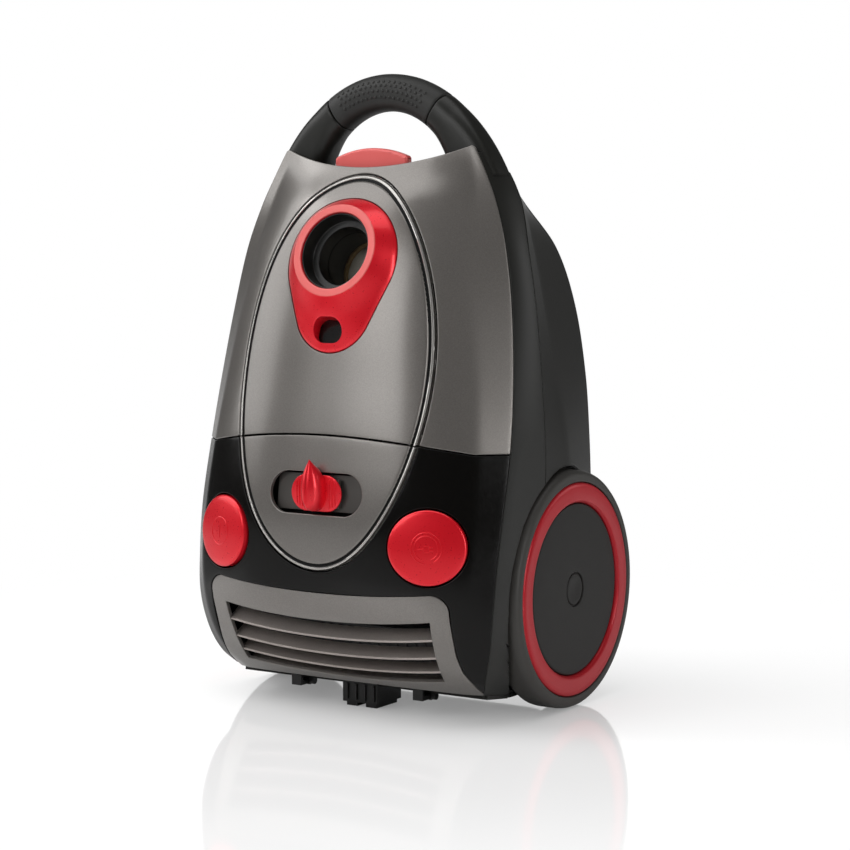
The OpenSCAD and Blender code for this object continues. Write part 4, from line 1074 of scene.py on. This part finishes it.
# Faces of the flat ring get the lighter red, a painted reflection of the lamps.
for face in plate.data.polygons:
    spot = np.array(face.center) * 1000 - [0, INLET_Y, INLET_Z]
    face.material_index = int(spot @ OUT_FACE > -0.75
                              and math.hypot(spot[0], spot @ UP_FACE) < RIM_R + 0.2)
done(plate, "lid", "red_metallic", None, "inlet_surround")

# %% [markdown]
# ## Turned pieces
# Everything round, such as the hose socket, the buttons and the wheels, is turned: we draw half of
# its section, spin it with the Screw modifier, and round its corners with a bevel.


# %% The hose socket
def turned(name, section, steps, place, width, angle=28, closed=True, scale=(1, 1)):
    """Spins a section of (radius, height) points about Z, bevels it and puts it in its place."""
    mesh = bpy.data.meshes.new(name)
    n = len(section)
    ends = n if closed else n - 1
    mesh.from_pydata([(r * 0.001, 0, h * 0.001) for r, h in section],
                     [(k, (k + 1) % n) for k in range(ends)], [])
    piece = bpy.data.objects.new(name, mesh)
    scene.collection.objects.link(piece)
    modify(piece, "SCREW", axis="Z", angle=2 * math.pi, steps=steps, render_steps=steps,
           use_merge_vertices=True, merge_threshold=1e-6)
    in_edit(piece, weld(), outward)
    rim(piece, width, 2, angle)
    piece.data.transform(place @ Matrix.Diagonal((*scale, 1, 1)))
    piece.data.update()
    smooth(piece, 30)
    return piece


def facing(origin, across, up, out):
    """The matrix that takes X, Y and Z to three directions at an origin in millimetres."""
    m = Matrix.Identity(4)
    for k, column in enumerate((across, up, out)):
        for row in range(3):
            m[row][k] = float(column[row])
    for row in range(3):
        m[row][3] = float(origin[row]) * 0.001
    return m


INLET = facing((0, INLET_Y, INLET_Z), (1, 0, 0), UP_FACE, OUT_FACE)
socket = turned("hose_socket", [(20, -44), (23, -44), (23, -22), (30.7, -22), (30.7, -19.9),
                                (26.7, -19.9), (26.7, -1.6), (25.9, -1.6), (25.2, -12.4),
                                (24.6, -13), (20.9, -13.4), (20.4, -14.4), (20.4, -24),
                                (20.0, -24.6)],
                128, INLET, 0.3)
done(socket, "lid", "black_plastic", FINISH["black_plastic"], "inlet_socket")

# %% [markdown]
# ## The two round buttons
# Each button is a shallow dome with a rolled edge, and carries a plain sign that stands a little
# proud: a ring with a bar for on and off, and a ring with a plug for the cord rewind. The signs
# are thin bent rods, half sunk into the dome.

# %% The buttons
DOME = [(0.0, 3.6), (0.2, 3.55), (0.4, 3.3), (0.6, 2.85), (0.8, 2.2), (0.9, 1.8), (0.955, 1.45),
        (0.985, 1.0), (1.0, 0.4)]


def dome(x, y):
    r = np.hypot(np.asarray(x) / (BUTTON_W / 2), np.asarray(y) / (BUTTON_H / 2))
    return np.interp(r, [a for a, b in DOME], [b for a, b in DOME])


def rod(name, path, r=0.42, closed=False, sides=8):
    """A thin rod laid along a path on the button's dome."""
    path = np.asarray(path, float)
    p = np.c_[path, dome(path[:, 0], path[:, 1])]
    last, t, rings = len(p) - 1, full_turn(sides), []
    for k in range(len(p)):
        a = p[k - 1 if closed or k else 0]
        b = p[(k + 1) % len(p) if closed else min(k + 1, last)]
        way = (b - a) / np.linalg.norm(b - a)
        side = np.cross(way, [0, 0, 1])
        side /= np.linalg.norm(side)
        lift = np.cross(side, way)
        rings.append(p[k] + r * (np.outer(np.cos(t), side) + 0.7 * np.outer(np.sin(t), lift)))
    if closed:
        rings.append(rings[0])
    return swept(name, rings, not closed)


def button(name, side, signs):
    r = BUTTON_W / 2
    section = [(a * r, h) for a, h in DOME] + [(r, -4), (0.9 * r, -4), (0.9 * r, -0.5), (5, -0.5),
                                              (5, -24), (0, -24)]
    cap = turned(name, section, 96, Matrix.Identity(4), 0.35, 40, False, (1, BUTTON_H / BUTTON_W))
    cap = join(name, [cap] + signs)
    cap.data.transform(facing(button_centre(side), *button_axes(side)))
    in_edit(cap, outward)
    smooth(cap, 34)
    return cap


def arc(r, a, b, steps=48):
    t = np.radians(np.linspace(a, b, steps))
    return np.c_[r * np.cos(t), r * np.sin(t)]


power_sign = [rod("ring", arc(9.6, 0, 352.5), closed=True),
              rod("bar", [(0, y) for y in np.linspace(-4.6, 4.6, 9)], 0.55)]
plug_sign = [rod("ring", arc(10.4, -60, 270)), rod("ring", arc(8.2, -70, 250)),
             rod("lead", [(x, -0.6) for x in np.linspace(-6, -1.6, 7)]),
             rod("body", [(-1.6, 1.6), (-1.6, -0.6), (-1.6, -2.6)]),
             rod("body", [(-1.6, -2.6), (0.2, -2.6), (2.0, -2.6), (2.0, -0.6), (2.0, 1.6),
                          (0.2, 1.6), (-1.6, 1.6)]),
             rod("pin", [(2.0, 0.6), (3.4, 0.6), (4.6, 0.6)]),
             rod("pin", [(2.0, -1.6), (3.4, -1.6), (4.6, -1.6)])]
for side, name, node, signs in ((-1, "power_button", "on_off_button", power_sign),
                                (1, "cord_button", "rewind_button", plug_sign)):
    cap = button(name, side, signs)
    done(cap, NODE_BODY[node], "red_metallic", FINISH["red_metallic"], node)

# %% [markdown]
# ## The power slider
# The slider is a rounded bar with a pointed fin for the thumb. The fin is a stack of drops that
# get narrower as they stand out, and it stands out more at its foot than at its point. Shallow
# ridges beside it keep the thumb from slipping.

# %% The slider
SLIDE_Y, SLIDE_Z = -102.0, 155.0
FIN_DEEP, FIN_LOW, FIN_HIGH, FIN_WIDE, FIN_LEAN = 12.2, 12.2, 18, 8.3, 4.6
BAR_L, BAR_R, BAR_FLAT, BAR_SWELL, RIDGE_R = 41, 12.5, 8, 0.9, 0.55


def drop_ring(wide, low, high, steps=44):
    """A plump drop facing the front: round below, pointed above."""
    t = np.linspace(0, 1, steps)
    h = (1 - np.cos(math.pi * t)) / 2
    half = 2.2 * wide * np.sqrt(h) * (1 - h) ** 0.65
    z = low + (high - low) * h
    right = np.c_[half, np.zeros_like(t), z]
    return np.vstack([right, (right * [-1, 1, 1])[-2:0:-1]])


fin = []
for turn in np.radians(np.linspace(0, 87, 14)):
    s, narrow = math.sin(turn), math.cos(turn)
    ring_points = drop_ring(0.3 + FIN_WIDE * narrow, SLIDE_Z - FIN_LOW + 6.0 * (1 - narrow),
                            SLIDE_Z + FIN_HIGH + 5.5 * s)
    climb = np.clip((ring_points[:, 2] - SLIDE_Z - 2) / 20, 0, 1)
    ring_points[:, 1] = SLIDE_Y + 0.4 - FIN_DEEP * s + FIN_LEAN * s * climb ** 2
    fin.append(ring_points)
fin = swept("fin", fin)


def bar_y(x, z):
    """The bar's face at a place z above its middle; it swells a little towards its middle."""
    away = np.hypot(np.maximum(np.abs(x) - BAR_FLAT, 0), z) / BAR_R
    return SLIDE_Y + BAR_SWELL - BAR_SWELL * np.clip(1 - away ** 2, 0, 1)


flat, triangles = pattern([spaced(stadium(BAR_L, 2 * BAR_R, SLIDE_Z), 1.2)], (), 1.6)
bar = mesh_piece("bar", np.c_[flat[:, 0], bar_y(flat[:, 0], flat[:, 1] - SLIDE_Z), flat[:, 1]],
                 triangles)
wall(bar, 1.5)
rim(bar, 0.5, 3)
ridges = []
t = full_turn(8)
for x in (11.2, 13.4, 15.6, -11.2, -13.4, -15.6):
    half = math.sqrt(BAR_R ** 2 - (abs(x) - BAR_FLAT) ** 2) - 2.4
    ridges.append(swept("ridge", [np.c_[x + RIDGE_R * np.cos(t), bar_y(x, z) + RIDGE_R * np.sin(t),
                                        np.full(len(t), SLIDE_Z + z)]
                                  for z in np.linspace(-half, half, 9)]))
slider = join("slider_knob", [fin, bar] + ridges)
in_edit(slider, outward)
smooth(slider, 40)
done(slider, NODE_BODY["power_slider"], "red_metallic", FINISH["red_metallic"], "power_slider")

# %% [markdown]
# ## The slot's shutter
# A curved shutter slides with the knob behind the slot, with a block in front of it and a stem
# that reaches back into the body. It is short enough for its travel, so at either end a dark strip
# of the tray shows beside it. It is a sheet through a grid of points that follow the front, a few
# millimetres back.

# %% The shutter
x_out, z_out = np.meshgrid(np.linspace(-35, 35, 37), np.linspace(142.6, 167.4, 12))
behind_front = along(z_out, 1) + 6.1 + 0.4 * (np.abs(x_out) / 40) ** 3
shutter = sheet_piece("slot_shutter", np.dstack([x_out, behind_front, z_out]), 0.6)
block = box_piece("carriage", (-17.8, 17.8), (-99.5, -97.2), (145.2, 164.8))
stem = box_piece("stem", (-2.9, 2.9), (-96, -85.8), (152.7, 157.3))
shutter = join("slot_shutter", [shutter, block, stem])
in_edit(shutter, outward)
rim(shutter, 0.25, 2)
smooth(shutter, 34)
done(shutter, NODE_BODY["slider_carriage"], "black_plastic", FINISH["slot_grey"],
     "slider_carriage")

# %% [markdown]
# ## The latch button
# The red button at the lid's top opens the lid. It is a slice of a disc with rounded edges.

# %% The latch
LATCH_Y, LATCH_R, LATCH_TOP, LATCH_X, LATCH_FOOT = -31.0, 75.0, 388.0, 29.9, 370.9
x = np.linspace(LATCH_X, -LATCH_X, 50)
arch = np.c_[x, LATCH_TOP - LATCH_R + np.sqrt(LATCH_R ** 2 - x * x)]
outline = np.vstack([arch, [[-LATCH_X, LATCH_FOOT], [LATCH_X, LATCH_FOOT]]])
flat, triangles = pattern([spaced(outline, 1.5)], (), 2.4)
latch = mesh_piece("latch_cap", np.c_[flat[:, 0], np.full(len(flat), LATCH_Y - 3.9), flat[:, 1]],
                   triangles)
wall(latch, 7.3)
rim(latch, 1.9, 5)
foot = box_piece("foot", (-22, 22), (LATCH_Y - 2.8, LATCH_Y + 2.2), (360.2, 371))
stem = box_piece("stem", (-2.5, 2.5), (LATCH_Y - 2.5, LATCH_Y + 2.5), (352.1, 361))
latch = join("latch_cap", [latch, foot, stem])
in_edit(latch, outward)
smooth(latch, 34)
# Its lighter coral red is a painted highlight.
done(latch, NODE_BODY["latch_button"], "red_metallic", FINISH["red_painted_highlight"], "latch_button")

# %% [markdown]
# ## The springs
# A coil spring under each button pushes it back out. In the CAD it is a rigid shape, and here it
# is a coil of wire swept round its axis.


# %% Coil springs
SPRING_STEPS, WIRE_R = 24, 0.7


def spring(name, matrix, r, low, high, turns, node):
    """A coil along the Z of a matrix, between two heights."""
    wire, b, rings = WIRE_R, -full_turn(8), []
    for k in range(turns * SPRING_STEPS + 1):
        a = 2 * math.pi * k / SPRING_STEPS
        z = low + wire + (high - low - 2 * wire) * k / (turns * SPRING_STEPS)
        q = r + wire * np.cos(b)
        rings.append(np.c_[q * math.cos(a), q * math.sin(a), z + wire * np.sin(b)])
    coil = swept(name, rings)
    coil.data.transform(matrix)
    smooth(coil, 40)
    done(coil, "body", "steel", FINISH["steel"], node)
    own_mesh(coil)


for side, node, joint in ((-1, "on_off_spring", "on_off_press"),
                          (1, "rewind_spring", "rewind_press")):
    matrix = facing(button_centre(side), *button_axes(side))
    spring(f"{joint}_coil", matrix, 8.5, -17.8, -0.9, 4, node)
spring("latch_coil", facing((0, LATCH_Y, 0), (1, 0, 0), (0, 1, 0), (0, 0, 1)), 5, 351.4, 359.7, 3,
       "latch_spring")

# %% [markdown]
# ## Side frames and handle
# A satin frame runs up each side of the lid and becomes the legs of the handle, all one moulding.
# The frame is a band between two curves of the form, and it swells a little between them so that
# it reads as rounded. We make the right one and mirror it, so that both sides are alike.


# %% The side frames
AXLE_Y, TYRE_R, ARCH_R, WELL_X = 31.0, 83.0, 86.0, 102.5


def outline_x(y, z):
    """Half width of the body at depth y and height z, behind the front crease."""
    return float(np.interp(y, [float(along(z, c)) for c in (5, 7, 9, 11)],
                           [float(along(z, c)) for c in (4, 6, 8, 10)]))


def levels(low, high, step):
    return np.linspace(low, high, int(round((high - low) / step)) + 1)


def cut_arches(piece):
    """Cuts the round wells of the two wheels."""
    deep, wells = 80.0, []
    for side in (-1, 1):
        bpy.ops.mesh.primitive_cylinder_add(
            vertices=160, radius=ARCH_R * 0.001, depth=deep * 0.001, rotation=(0, math.pi / 2, 0),
            location=(side * (WELL_X + deep / 2) * 0.001, AXLE_Y * 0.001, TYRE_R * 0.001))
        wells.append(settled())
    cut_away(piece, join("wells", wells))


def base_plate(name, y0, y1):
    """The floor of the body between two depths."""
    grid = []
    for y in np.linspace(y0, y1, int(abs(y1 - y0) / 4) + 2):
        z = float(underside(y))
        if y < float(along(z, 5)):
            half = float(along(z, 4))
        elif y <= float(along(z, 11)):
            half = outline_x(y, z)
        else:
            k, b = float(along(z, 11)), float(along(z, 12))
            drop = min((y - k) / max(b - k, 1e-6), 1.0)
            half = float(along(z, 10)) - BELLY_R * (1 - math.sqrt(max(0, 1 - drop * drop)))
        if y > -22:  # beside the wheels
            half = min(half, WELL_X - 0.1)
        grid.append([(s * half, y, z) for s in np.linspace(-1, 1, 31)])
    return sheet_piece(name, grid, 3.0)


BAND_SWELL, BAND_X = 1.1, 125.3
rows = []
for z in levels(15.6, 384, 3.0):
    ex, ey, sx, sy = (float(along(z, c)) for c in (4, 5, 6, 7))
    ey, sy = ey + SEAM, sy - 0.3
    normal = np.array([sy - ey, ex - sx])
    normal /= np.linalg.norm(normal)
    row = []
    for t in np.linspace(0, 1, 15):
        swell = BAND_SWELL * (1 - (2 * t - 1) ** 2)
        row.append((min(ex + (sx - ex) * t + swell * normal[0], BAND_X),
                    ey + (sy - ey) * t + swell * normal[1], z))
    rows.append(row)
frame_band = sheet_piece("side_band", rows, 3.2)
modify(frame_band, "MIRROR", use_axis=(True, False, False), use_clip=False,
       use_mirror_merge=False)
in_edit(frame_band, weld(), outward)
cut_arches(frame_band)
rim(frame_band, 0.8, 3, 50)
print("side frames:", len(frame_band.data.polygons), "faces")

# %% [markdown]
# ## The hoop
# The handle is one section swept round an arch. Its outer and its inner edge are parts of two
# ellipses, so the hoop grows wider towards its feet by itself, and the section turns from nearly
# square there to rounder under the hand. Where the grip begins, the section dips into a narrow
# groove, and a thinner core runs under the grip.

# %% The handle's legs
HOOP_Z, HOOP_A, HOLE_Z, HOLE_A, HANDLE_TOP, GRIP_T = 290.0, 109.0, 352.0, 57.0, 440.0, 26.0
HANDLE_Y, HANDLE_D, GRIP_FROM = -10.0, 26.0, 53.5
OUTER_FROM, OUTER_SPAN, GROOVE_LONG = 24.4, 131.2, 0.7


def hoop_ring(u, shrink=0.0, count=44):
    """The handle's section at an angle round its arch."""
    t = math.radians(OUTER_FROM + OUTER_SPAN * u / 180)
    a = math.radians(u)
    o = np.array([HOOP_A * math.cos(t), HOOP_Z + (HANDLE_TOP - HOOP_Z) * math.sin(t)])
    i = np.array([HOLE_A * math.cos(a), HOLE_Z + (HANDLE_TOP - GRIP_T - HOLE_Z) * math.sin(a)])
    middle, way = (o + i) / 2, (o - i) / np.linalg.norm(o - i)
    half, deep = np.linalg.norm(o - i) / 2 - shrink, HANDLE_D / 2 - shrink
    boxy = 2.4 + 3 * max(0.0, 1 - min(u, 180 - u) / 45)
    s = -full_turn(count)
    c, d = np.cos(s), np.sin(s)
    out = np.sign(c) * np.abs(c) ** (2 / boxy) * half
    back = np.sign(d) * np.abs(d) ** (2 / boxy) * deep
    return np.c_[middle[0] + way[0] * out, HANDLE_Y + back, middle[1] + way[1] * out]


def hoop(name, start, stop, groove=0.0, ends=(True, True), shrink=0.0):
    """A stretch of the hoop; its section narrows beside each end that meets another piece."""
    angles = list(np.arange(start, stop, 1.5)) + [stop]
    for e, at in zip(ends, (start, stop)):
        if e:
            way = 1 if at == start else -1
            angles += [at + way * d for d in (0.12, 0.35, GROOVE_LONG)]
    rings = []
    for u in sorted(set(np.round(angles, 4))):
        dip = 0.0
        for e, at in zip(ends, (start, stop)):
            if e:
                dip = max(dip, groove * max(0.0, 1 - abs(u - at) / GROOVE_LONG) ** 2)
        rings.append(hoop_ring(u, shrink + dip))
    return swept(name, rings)


legs = [hoop("leg", 10, GRIP_FROM, 0.8, (False, True)),
        hoop("leg", 180 - GRIP_FROM, 170, 0.8, (True, False)),
        hoop("core", GRIP_FROM - 1.5, 181.5 - GRIP_FROM, 0.0, (False, False), 3.4)]
strip = base_plate("frame_floor", -46, -16.5)
side_frame = join("frame_and_handle", [frame_band, strip] + legs)
in_edit(side_frame, outward)
smooth(side_frame, 34)
done(side_frame, "body", "frame_plastic", FINISH["frame_plastic"], "side_frames", "handle_frame")

# %% [markdown]
# ## The grip
# The soft grip is a sleeve moulded round the top of the hoop. Rows of low bumps keep the hand from
# slipping. Each bump is a small dome with few faces, because there are dozens of them.

# %% The grip and its bumps
grip = hoop("grip_sleeve", GRIP_FROM + 0.4, 179.6 - GRIP_FROM, 1.3, (True, True))


def bump_points(u, turn):
    """A point on the grip's section and the way out of it."""
    ring = hoop_ring(u, 0.0, 360)
    k = int(round(turn)) % 360
    p = ring[k]
    along_way = hoop_ring(u + 0.4, 0.0, 360)[k] - hoop_ring(u - 0.4, 0.0, 360)[k]
    round_way = ring[(k + 2) % 360] - ring[k - 2]
    out = np.cross(along_way, round_way)
    out /= np.linalg.norm(out)
    if np.dot(out, p - ring.mean(0)) < 0:
        out = -out
    return p, out, along_way / np.linalg.norm(along_way)


BUMP_TURNS, BUMPS, BUMP_FROM, BUMP_SPAN = (60, 74, 88, 102), 18, 61.5, 57
bumps = []
for row, turn in enumerate(BUMP_TURNS):
    for k in range(BUMPS - row % 2):
        u = BUMP_FROM + (k + 0.5 * (row % 2)) * BUMP_SPAN / (BUMPS - 1)
        p, out, way = bump_points(u, turn)
        side = np.cross(out, way)
        rings = []
        for r, h in ((1.3, -0.3), (1.1, 0.3), (0.6, 0.6)):
            t = full_turn(8)
            rings.append(p + out * h + r * (np.outer(np.cos(t), way) + np.outer(np.sin(t), side)))
        bumps.append(swept("bump", rings))
grip = join("grip_sleeve", [grip] + bumps)
in_edit(grip, outward)
smooth(grip, 42)
done(grip, "body", "grip_rubber", FINISH["grip_rubber"], "handle_grip")

# %% [markdown]
# ## The rear housing
# Behind the frame the body is one deep satin tub. Its side falls back from the frame's seam over
# a soft edge to the long rounded corners and the belly. The wheels sit in round wells, which we
# cut out of the tub and line with cups, so that no gap shows the works inside.

# %% The housing
BRIDGE_Z = 371.0


def back_row(z):
    """Half of the housing's outline behind the frame at one height, from seam to middle."""
    points = [(float(along(z, a)), float(along(z, b))) for a, b in ((6, 7), (8, 9), (10, 11))]
    belly = float(along(z, 12))
    (sx, sy), (fx, fy), (kx, ky) = points
    row = [(sx + (fx - sx) * t, sy + 0.3 + (fy - sy - 0.3) * t) for t in np.linspace(0, 0.86, 12)]
    turn_in = np.array([fx + (sx - fx) * 0.14, fy + (sy - fy) * 0.14])
    turn_out = np.array([fx + (kx - fx) * 0.12, fy + (ky - fy) * 0.12])
    for t in np.linspace(0.2, 0.8, 4):
        row.append(tuple((1 - t) ** 2 * turn_in + 2 * t * (1 - t) * np.array([fx, fy])
                         + t * t * turn_out))
    row += [(fx + (kx - fx) * t, fy + (ky - fy) * t) for t in np.linspace(0.12, 1, 14)]
    for a in np.radians(np.arange(7.5, 90.1, 7.5)):
        row.append((kx - BELLY_R * (1 - math.cos(a)), ky + (belly - ky) * math.sin(a)))
    flat_x = kx - BELLY_R
    row += [(flat_x * t, belly) for t in np.linspace(0.86, 0, 8)]
    return [(x, y, z) for x, y in row]


rows = []
for z in levels(15.6, BRIDGE_Z, 3.2):
    half = back_row(z)
    rows.append(half + [(-x, y, h) for x, y, h in half[-2::-1]])
tub = sheet_piece("tub", rows, 3.0)
in_edit(tub, outward)
cut_arches(tub)
bpy.ops.mesh.primitive_cylinder_add(vertices=64, radius=0.0104, depth=0.08,
                                    location=(0, 0.1, 0.302), rotation=(math.pi / 2, 0, 0))
cut_away(tub, settled())
rim(tub, 0.7, 3, 50)
print("tub:", len(tub.data.polygons), "faces")

# %% [markdown]
# ## The wheels' cups
# Each wheel turns in a cup: a flat disc inside, and a wall that runs out from it to the tub. The
# wall follows the round well, but it stops at the floor and in front of the tub's corner.

# %% The cups
cups = []
CUP_R = ARCH_R + 0.05
angles = np.radians(np.linspace(-180, 180, 160, endpoint=False))
for side in (-1, 1):
    inner, outer = [], []
    for a in angles:
        y, z = AXLE_Y + CUP_R * math.cos(a), TYRE_R + CUP_R * math.sin(a)
        z = max(z, 18.0)
        limit = float(np.interp(WELL_X, [float(along(z, 10)), float(along(z, 8))],
                                [float(along(z, 11)), float(along(z, 9))])) - 2.6
        y = min(y, max(limit, 40.0))
        reach = max(WELL_X, outline_x(y, z) - 1.4)
        inner.append((side * WELL_X, y, z))
        outer.append((side * reach, y, z))
    cups += [band("cup", [outer, inner]), mesh_piece("disc", inner, [list(range(len(inner)))])]
cup = join("cups", cups)
in_edit(cup, weld(2e-6), outward)
modify(cup, "SOLIDIFY", thickness=0.0012, offset=0.0)
print("cups:", len(cup.data.polygons), "faces")

# %% [markdown]
# ## The bridge and the floor
# A flat bridge closes the housing between the handle's legs, with a slot for the latch, and a
# plate closes the bottom.

# %% The bridge and the floor
z = BRIDGE_Z
crease, edge = ([float(along(z, column)) for column in pair] for pair in ((2, 3), (4, 5)))
top = []
for y in np.linspace(-40, 4.8, 14):
    half = outline_x(y, z) if y > edge[1] else float(
        np.interp(y, [crease[1], edge[1]], [crease[0], edge[0]]))
    across = [s * (half - 4.0) for s in np.linspace(-1, 1, 41)]
    top.append([(x, max(y, float(front(x, z)) + WALL + SEAM + 0.6), z) for x in across])
bridge = sheet_piece("bridge", top, 2.9)
in_edit(bridge, outward)
bpy.ops.mesh.primitive_cube_add(size=1, location=(0, LATCH_Y * 0.001, BRIDGE_Z * 0.001),
                                scale=(0.061, 0.009, 0.04))
cut_away(bridge, settled())
floor_plate = base_plate("floor", -15.6, 68.4)
tub = join("rear_tub", [tub, cup, bridge, floor_plate])
smooth(tub, 34)
done(tub, "body", "frame_plastic", FINISH["frame_plastic"], "rear_housing")

# %% [markdown]
# ## The big wheels
# Each wheel is a rubber tyre on a hub, with a red ring and a dark disc let into its face. Tyre,
# ring and disc are turned, and the hub behind them is the CAD's own. The disc has a low cap in its
# middle, and the ring's two edges are rolled, which is where the light catches.

# %% The wheels
WHEEL_X, TYRE_IN = 128.0, 105.0
RING_R, RING_BORE = 74.3, 60.2
SECTIONS = {
    "tyre": [(74.7, TYRE_IN + 2), (79, TYRE_IN), (81.6, TYRE_IN + 0.9), (82.7, TYRE_IN + 2.6),
             (TYRE_R, TYRE_IN + 5), (TYRE_R, WHEEL_X - 7), (82.7, WHEEL_X - 4.4),
             (81.8, WHEEL_X - 2.2), (80.3, WHEEL_X - 0.7), (78.2, WHEEL_X - 0.05), (75.6, WHEEL_X),
             (74.9, WHEEL_X - 0.5), (74.7, WHEEL_X - 1.4)],
    "ring": [(RING_BORE, WHEEL_X - 8), (RING_R, WHEEL_X - 8), (RING_R, WHEEL_X - 1.2),
             (73.6, WHEEL_X - 0.3), (72.6, WHEEL_X + 0.25), (70, WHEEL_X + 0.35),
             (63.4, WHEEL_X + 0.2), (61.9, WHEEL_X - 0.15), (60.8, WHEEL_X - 1.3),
             (RING_BORE, WHEEL_X - 2.6)],
    "disc": [(0, WHEEL_X - 8), (60, WHEEL_X - 8), (60, WHEEL_X - 3.2), (59.3, WHEEL_X - 2.1),
             (57.6, WHEEL_X - 1.5), (40, WHEEL_X - 1.45), (20, WHEEL_X - 1.5),
             (12.6, WHEEL_X - 1.6), (12.1, WHEEL_X - 1.8), (11.9, WHEEL_X - 3.0),
             (11.0, WHEEL_X - 3.0), (10.8, WHEEL_X - 2.2), (10.2, WHEEL_X - 1.9),
             (8.2, WHEEL_X - 1.9), (5, WHEEL_X - 2.3), (0, WHEEL_X - 2.5)]}
for side, word in ((-1, "left"), (1, "right")):
    place = facing((0, AXLE_Y, TYRE_R), (0, side, 0), (0, 0, 1), (side, 0, 0))
    for kind, slot in (("tyre", "tyre_black"), ("ring", "ring_red"), ("disc", "hub_plastic")):
        piece = turned(f"{word}_wheel_{kind}", SECTIONS[kind], 192, place, 0.25, 35,
                       kind != "disc")
        done(piece, f"{word}_wheel", slot, FINISH[slot], f"{word}_{kind}")

# %% [markdown]
# ## Clips under the grille
# Two hooks under the grille panel hold it on its pins, so that it swings down. They are black.

# %% The grille's hooks
HOOK_X, HOOK_Y, HOOK_Z, HOOK_W, EYE_IN, EYE_OUT = 51.0, -42.0, 13.0, 8, 2.05, 3.2
stop_y, heel_y = HOOK_Y - 12, HOOK_Y - 9.6
panel_z = float(underside(stop_y)) + 0.4
arm = [(HOOK_Y, HOOK_Z + 1.2), (heel_y, HOOK_Z + 1.2), (heel_y, panel_z), (stop_y, panel_z),
       (stop_y, HOOK_Z - 2), (HOOK_Y, HOOK_Z - 2)]
eye = [(EYE_IN, 0), (EYE_OUT, 0), (EYE_OUT, HOOK_W), (EYE_IN, HOOK_W)]
clips = []
for side in (-1, 1):
    x0 = side * HOOK_X - HOOK_W / 2
    clips.append(swept("arm", [[(x, y, z) for y, z in arm] for x in (x0, x0 + HOOK_W)]))
    place = facing((x0, HOOK_Y, HOOK_Z), (0, 1, 0), (0, 0, 1), (1, 0, 0))
    clips.append(turned("eye", eye, 32, place, 0.3))
clips = join("grille_clips", clips)
in_edit(clips, outward)
smooth(clips, 34)
done(clips, "grille", "black_plastic", FINISH["black_plastic"])

# %% [markdown]
# ## The dust bag
# Inside the lid hangs the paper-felt bag. It is a soft thing, so it gets its shape from a short
# cloth simulation: a slightly smaller loft is remeshed, blown up a little and then smoothed once.
# No point may travel more than a few millimetres, so the bag stays inside the space that the CAD
# leaves for it.


# %% The bag
BAG_LEVELS, BAG_INSET = (203, 214, 226, 240, 255, 270, 285, 300, 312, 324, 336), 5.0
COLLAR_BACK, TRAVEL = 50.4, 0.0045


def bag_row(z):
    """One level of the space round the bag, kept clear of the mouldings and the collar."""
    tilt, back = INLET_TILT, COLLAR_BACK
    y = (INLET_Y + back * math.cos(tilt) + (z - INLET_Z + back * math.sin(tilt)) * math.tan(tilt))
    a, q = float(along(z, 4)) - 18, (float(along(z, 8)), float(along(z, 9)))
    k, b = (float(along(z, 10)), float(along(z, 11))), float(along(z, 12))
    half = [(0, y), ((a - 9) * 0.5, y), (a - 9, y), (a, y + 9), (q[0] - 17, q[1]),
            (k[0] - 16, k[1] - 15), (k[0] - 31, b - 17), ((k[0] - 31) * 0.5, b - 16.5)]
    return half + [(0, b - 16)] + [(-x, v) for x, v in half[:0:-1]]


def shrunk(z):
    """A row of the loft, a little smaller all round."""
    row, inset = np.array(bag_row(z)), BAG_INSET
    middle = row.mean(0)
    way = row - middle
    size = np.linalg.norm(way, axis=1)[:, None]
    row = middle + way * (1 - inset / size)
    return np.c_[row, np.full(len(row), min(max(z, BAG_LEVELS[0] + inset),
                                            BAG_LEVELS[-1] - inset))]


bag = swept("bag", [shrunk(z) for z in BAG_LEVELS])
in_edit(bag, outward)
modify(bag, "REMESH", mode="VOXEL", voxel_size=0.006, use_smooth_shade=True)
start = np.array([v.co[:] for v in bag.data.vertices])
choose(bag)
cloth = bag.modifiers.new("Cloth", "CLOTH")
cloth.settings.use_pressure = True
cloth.settings.uniform_pressure_force = 4.0
cloth.settings.effector_weights.gravity = 0.0
cloth.settings.quality = 5
cloth.point_cache.frame_start, cloth.point_cache.frame_end = 1, 20
for frame_number in range(1, 21):
    scene.frame_set(frame_number)
bpy.ops.object.modifier_apply(modifier=cloth.name)
scene.frame_set(1)
now = np.array([v.co[:] for v in bag.data.vertices])
step_taken = now - start
far_off = np.linalg.norm(step_taken, axis=1)[:, None]
now = start + step_taken * np.minimum(1, TRAVEL / np.maximum(far_off, 1e-9))
for vertex, place in zip(bag.data.vertices, now):
    vertex.co = place
modify(bag, "SUBSURF", levels=1, render_levels=1)
bag.name = "paper_bag"
choose(bag)
bpy.ops.object.shade_smooth()
done(bag, "body", "felt", FINISH["felt"], "dust_bag")

# %% [markdown]
# ## The end

# %% The end
print("the end")
